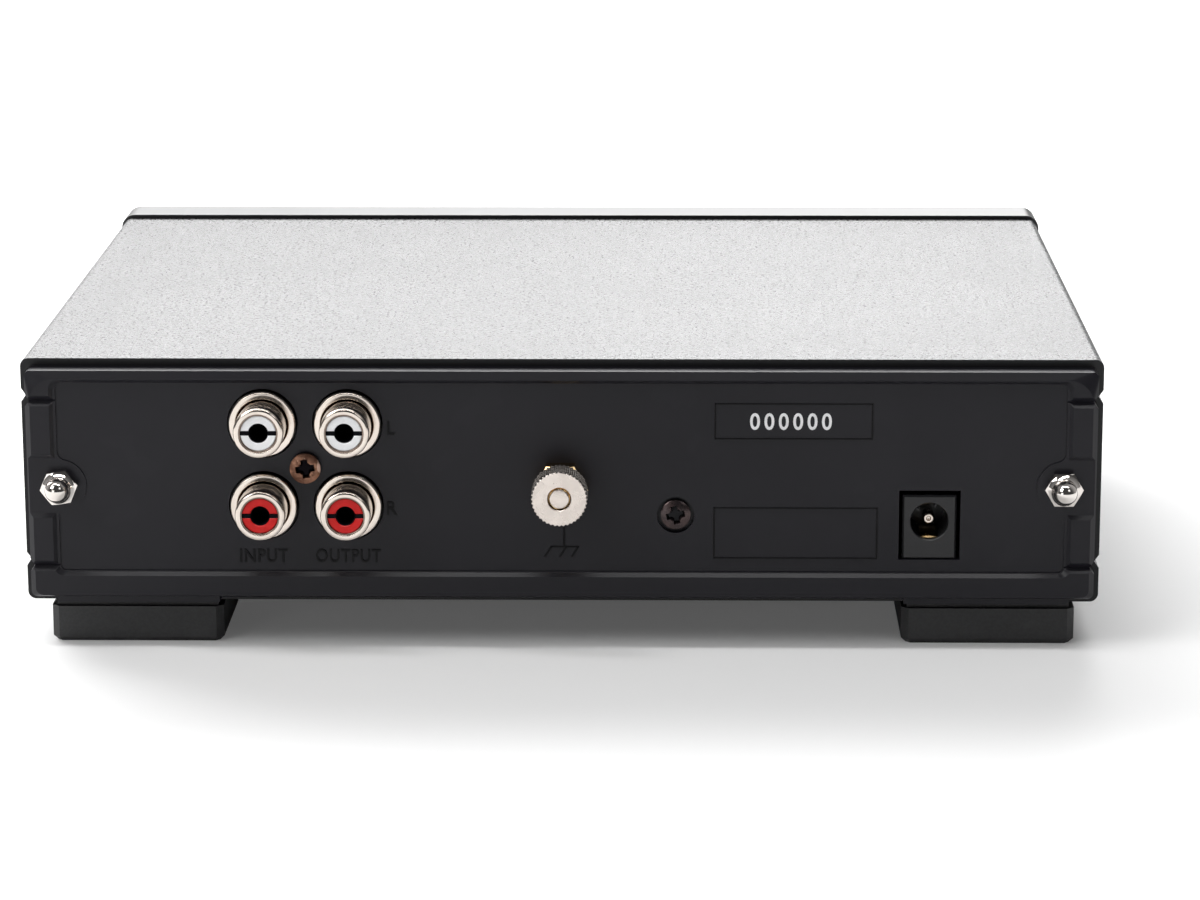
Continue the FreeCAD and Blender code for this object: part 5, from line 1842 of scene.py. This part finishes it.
@dataclass
class FrontControls:
    """What shows on the fascia: the push button and the indicator's lens."""

    collar: float = 1.0
    collar_length: float = 3.4
    button_edge: float = 0.7
    edge_steps: int = 6
    dish: Profile = ((1.9, 0.16), (1.1, 0.05))
    lens_rise: float = 0.35
    lens_steps: int = 9
    lens_around: int = 64

    def build(self) -> None:
        """Builds the button over the CAD one, and the lens over its own."""
        piece_from(
            self._button(), "button_cap", BUTTON_PLASTIC, Body.BUTTON,
            replaced="power_button",
        )
        piece_from(self._lens(), "indicator_jewel", CLEAR_LENS, replaced="indicator_lens")

    def _button(self) -> bpy.types.Mesh:
        """The button, with a shallow dish, a rounded edge and the collar that holds it.

        Returns:
            The closed mesh.
        """
        low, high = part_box("power_button")
        wide = half_width("power_button") / MM
        radius = wide - self.collar
        length = (high.y - low.y) / MM
        seat = length - self.collar_length
        section = [(0.0, self.dish[0][1]), *((radius - inset, depth) for inset, depth in self.dish)]
        for step in range(self.edge_steps + 1):
            turn = math.radians(90 * step / self.edge_steps)
            across = radius - self.button_edge * (1 - math.sin(turn))
            section.append((across, self.button_edge * (1 - math.cos(turn))))
        section += [(radius, seat), (wide, seat), (wide, length), (0.0, length)]
        return turned(mm(*section), axis_point("power_button", low.y))

    def _lens(self) -> bpy.types.Mesh:
        """The lens, with its low dome in front of the fascia.

        Returns:
            The closed mesh.
        """
        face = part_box("front_fascia")[0].y
        radius = half_width("indicator_lens") / MM
        depth = (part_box("indicator_lens")[1].y - face) / MM
        dome = []
        for step in range(self.lens_steps + 1):
            turn = math.radians(90 * step / self.lens_steps)
            dome.append((radius * math.sin(turn), -self.lens_rise * math.cos(turn)))
        section = mm(*dome, (radius, depth), (0.0, depth))
        return turned(section, axis_point("indicator_lens", face), self.lens_around)


@dataclass(frozen=True)
class Lettering:
    """Plain letters or digits: their middle on the panel, their whole size and their strokes.

    Sizes are in millimetres. Across is rightwards in the photograph, from the panel's middle.
    """

    text: str
    across: float
    up: float
    wide: float
    tall: float = 2.3
    relief: float = MARK_RELIEF
    spacing: float = 1.12
    boldness: float = 0.04


PORT_WORDS = (
    Lettering("INPUT", -49.64, 16.16, 8.03),
    Lettering("OUTPUT", -35.50, 16.18, 10.87),
    Lettering("L", -28.07, 38.09, 1.25),
    Lettering("R", -28.11, 24.41, 1.65),
)
NUMBER = Lettering("000000", 38.13, 39.32, 13.54, 2.88, relief=0.03, spacing=1.36, boldness=0.07)


@dataclass
class PanelMarks:
    """Raised plain marks on the rear panel: the earth sign, port words and number boxes.

    Points are (across, up) in millimetres, across being rightwards in the photograph. A stroke
    of the earth sign is given by its two ends.
    """

    field_step: float = 3.8
    sink: float = 0.10
    top_share: float = 0.6
    sign_stroke: float = 0.34
    sign_strokes: tuple[tuple[float, ...], ...] = (
        (0.55, 21.0, 0.55, 18.1), (-1.65, 17.8, 2.80, 17.8),
        (-2.60, 16.2, -1.65, 17.7), (-0.10, 16.2, 0.85, 17.7), (1.90, 16.2, 2.85, 17.7),
    )
    box_stroke: float = 0.22
    number_box: tuple[float, ...] = (25.63, 36.37, 51.61, 42.27)
    bare_box: tuple[float, ...] = (25.48, 15.94, 52.56, 24.53)
    cap_height: float = 1.38
    letter_steps: int = 4
    face: float = field(init=False)

    def build(self, sleeve_end: float) -> None:
        """Builds the marks on the sunk field of the panel.

        Args:
            sleeve_end: The sleeve's rear end along Y.
        """
        self.face = sleeve_end + self.field_step * MM
        # The earth sign, the words and the boxes take the darker plastic, which paints their shade.
        self._raise(self._earth_sign(), "mark_earth")
        for word in PORT_WORDS:
            name = f"mark_{word.text.lower()}"
            piece_from(self._letters(word), name, PANEL_RELIEF_SHADE)
        self._raise(self._frame(*self.number_box), "mark_number_box")
        self._raise(self._frame(*self.bare_box), "mark_bare_box")
        piece_from(self._letters(NUMBER), "mark_digits", PRINT_WHITE)

    def _raise(self, strokes: Iterable[bpy.types.Mesh], name: str) -> None:
        """Joins strokes into one raised mark, in the darker copy of the panel's plastic that paints its
        shade.
        """
        piece_from(joined(strokes, name), name, PANEL_RELIEF_SHADE)

    def _bar(self, start: Sequence[float], end: Sequence[float], wide: float) -> bpy.types.Mesh:
        """A raised straight stroke on the panel.

        Args:
            start: Where it starts.
            end: Where it ends.
            wide: How wide it is.

        Returns:
            The closed mesh of the stroke, with a bevelled top.
        """
        first, last = (Vector((-across, up)) * MM for across, up in (start, end))
        way = (last - first).normalized()
        side = Vector((-way.y, way.x))
        shape = bmesh.new()
        rings = []
        for along, share in ((-self.sink, 1.0), (0.0, 1.0), (MARK_RELIEF, self.top_share)):
            pad = wide * share * MM / 2
            corners = (
                first - (way + side) * pad, last + (way - side) * pad,
                last + (way + side) * pad, first - (way - side) * pad,
            )
            rings.append([shape.verts.new((c.x, self.face + along * MM, c.y)) for c in corners])
        skin(shape, rings)
        return closed_mesh(shape, "stroke")

    def _earth_sign(self) -> list[bpy.types.Mesh]:
        """A stem with a bar and three slanted strokes below it."""
        return [self._bar(line[:2], line[2:], self.sign_stroke) for line in self.sign_strokes]

    def _frame(self, left: float, low: float, right: float, high: float) -> list[bpy.types.Mesh]:
        """The four strokes of a thin box."""
        corners = [(left, low), (right, low), (right, high), (left, high)]
        return [self._bar(a, b, self.box_stroke) for a, b in zip(corners, corners[1:] + corners[:1])]

    def _letters(self, word: Lettering) -> bpy.types.Mesh:
        """Plain letters or digits that stand on the panel.

        Args:
            word: What they say, their place, their size and their strokes.

        Returns:
            The closed mesh in the row frame.
        """
        data = bpy.data.curves.new("letters", "FONT")
        data.body = word.text
        data.align_x = "CENTER"
        data.align_y = "CENTER"
        data.size = word.tall * self.cap_height * MM
        data.space_character = word.spacing
        data.extrude = (word.relief + self.sink) * MM / 2
        data.offset = word.boldness * MM
        data.resolution_u = self.letter_steps
        mesh = evaluated_mesh(bpy.data.objects.new("letters", data))
        for axis, size in enumerate((word.wide, word.tall)):
            values = [vert.co[axis] for vert in mesh.vertices]
            low, high = min(values), max(values)
            for vert in mesh.vertices:
                vert.co[axis] = (vert.co[axis] - (low + high) / 2) * size * MM / (high - low)
        middle = self.face + (word.relief - self.sink) * MM / 2
        mesh.transform(Matrix((
            (-1.0, 0.0, 0.0, -word.across * MM),
            (0.0, 0.0, 1.0, middle),
            (0.0, 1.0, 0.0, word.up * MM),
            (0.0, 0.0, 0.0, 1.0),
        )))
        shape = bmesh.new()
        shape.from_mesh(mesh)
        bpy.data.meshes.remove(mesh)
        return closed_mesh(shape, "letters")


@dataclass
class CadDressing:
    """Gives every CAD node that still shows the finish of its material slot."""

    finishes: dict[str, Finish] = field(default_factory=lambda: {
        "sleeve_coat": SLEEVE_COAT, "panel_plastic": PANEL_PLASTIC, "fascia_gloss": FASCIA_GLOSS,
        "foot_rubber": FOOT_RUBBER, "nickel": NICKEL, "zinc_steel": ZINC_STEEL,
        "gold_plate": BRASS_GOLD, "copper_plate": COPPER, "black_steel": BLACK_STEEL,
        "white_insulator": WHITE_INSULATOR, "red_insulator": RED_INSULATOR,
        "black_moulding": BLACK_MOULDING, "board_laminate": BOARD_LAMINATE,
        "button_plastic": BUTTON_PLASTIC, "natural_plastic": NATURAL_PLASTIC,
        "clear_lens": CLEAR_LENS, "lamp_resin": LAMP_RESIN, "capacitor_sleeve": CAPACITOR_SLEEVE,
        "sink_aluminium": SINK_ALUMINIUM, "film_case": FILM_CASE,
    })

    def build(self) -> None:
        """Puts a node material on each CAD node, by the slot that the record gives it."""
        for part in frame["record"]["subparts"]:
            node = frame["nodes"][part["node"]]
            node.data.materials.clear()
            node.data.materials.append(PAINT.get(self.finishes[part["material_slot"]]))
            LOG.info("%s takes %s", part["node"], part["material_slot"])


def main() -> None:
    """Builds the studio and the pieces."""
    logging.basicConfig(level=logging.INFO, format="%(message)s")
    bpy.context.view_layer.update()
    sleeve_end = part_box("case_sleeve")[1].y
    Studio().build()
    CadDressing().build()
    for port in ("input", "output"):
        PhonoSocket(f"{port}_left", WHITE_INSULATOR, "white_insulator").build(sleeve_end)
        PhonoSocket(f"{port}_right", RED_INSULATOR, "red_insulator").build(sleeve_end)
    RecessedScrew(
        "socket_block_screw", COPPER, "copper_plate", math.radians(-8), recess=Recess.CROSS_WITH_TICKS
    ).build()
    RecessedScrew("panel_screw", BLACK_STEEL, "black_steel", math.radians(-11), crown=0.8).build()
    DomeNut("dome_nut_left", math.radians(-8)).build()
    DomeNut("dome_nut_right", 0.0).build()
    GroundTerminal().build()
    PowerInlet().build()
    FrontControls().build()
    PanelMarks().build(sleeve_end)


if __name__ == "__main__":
    main()
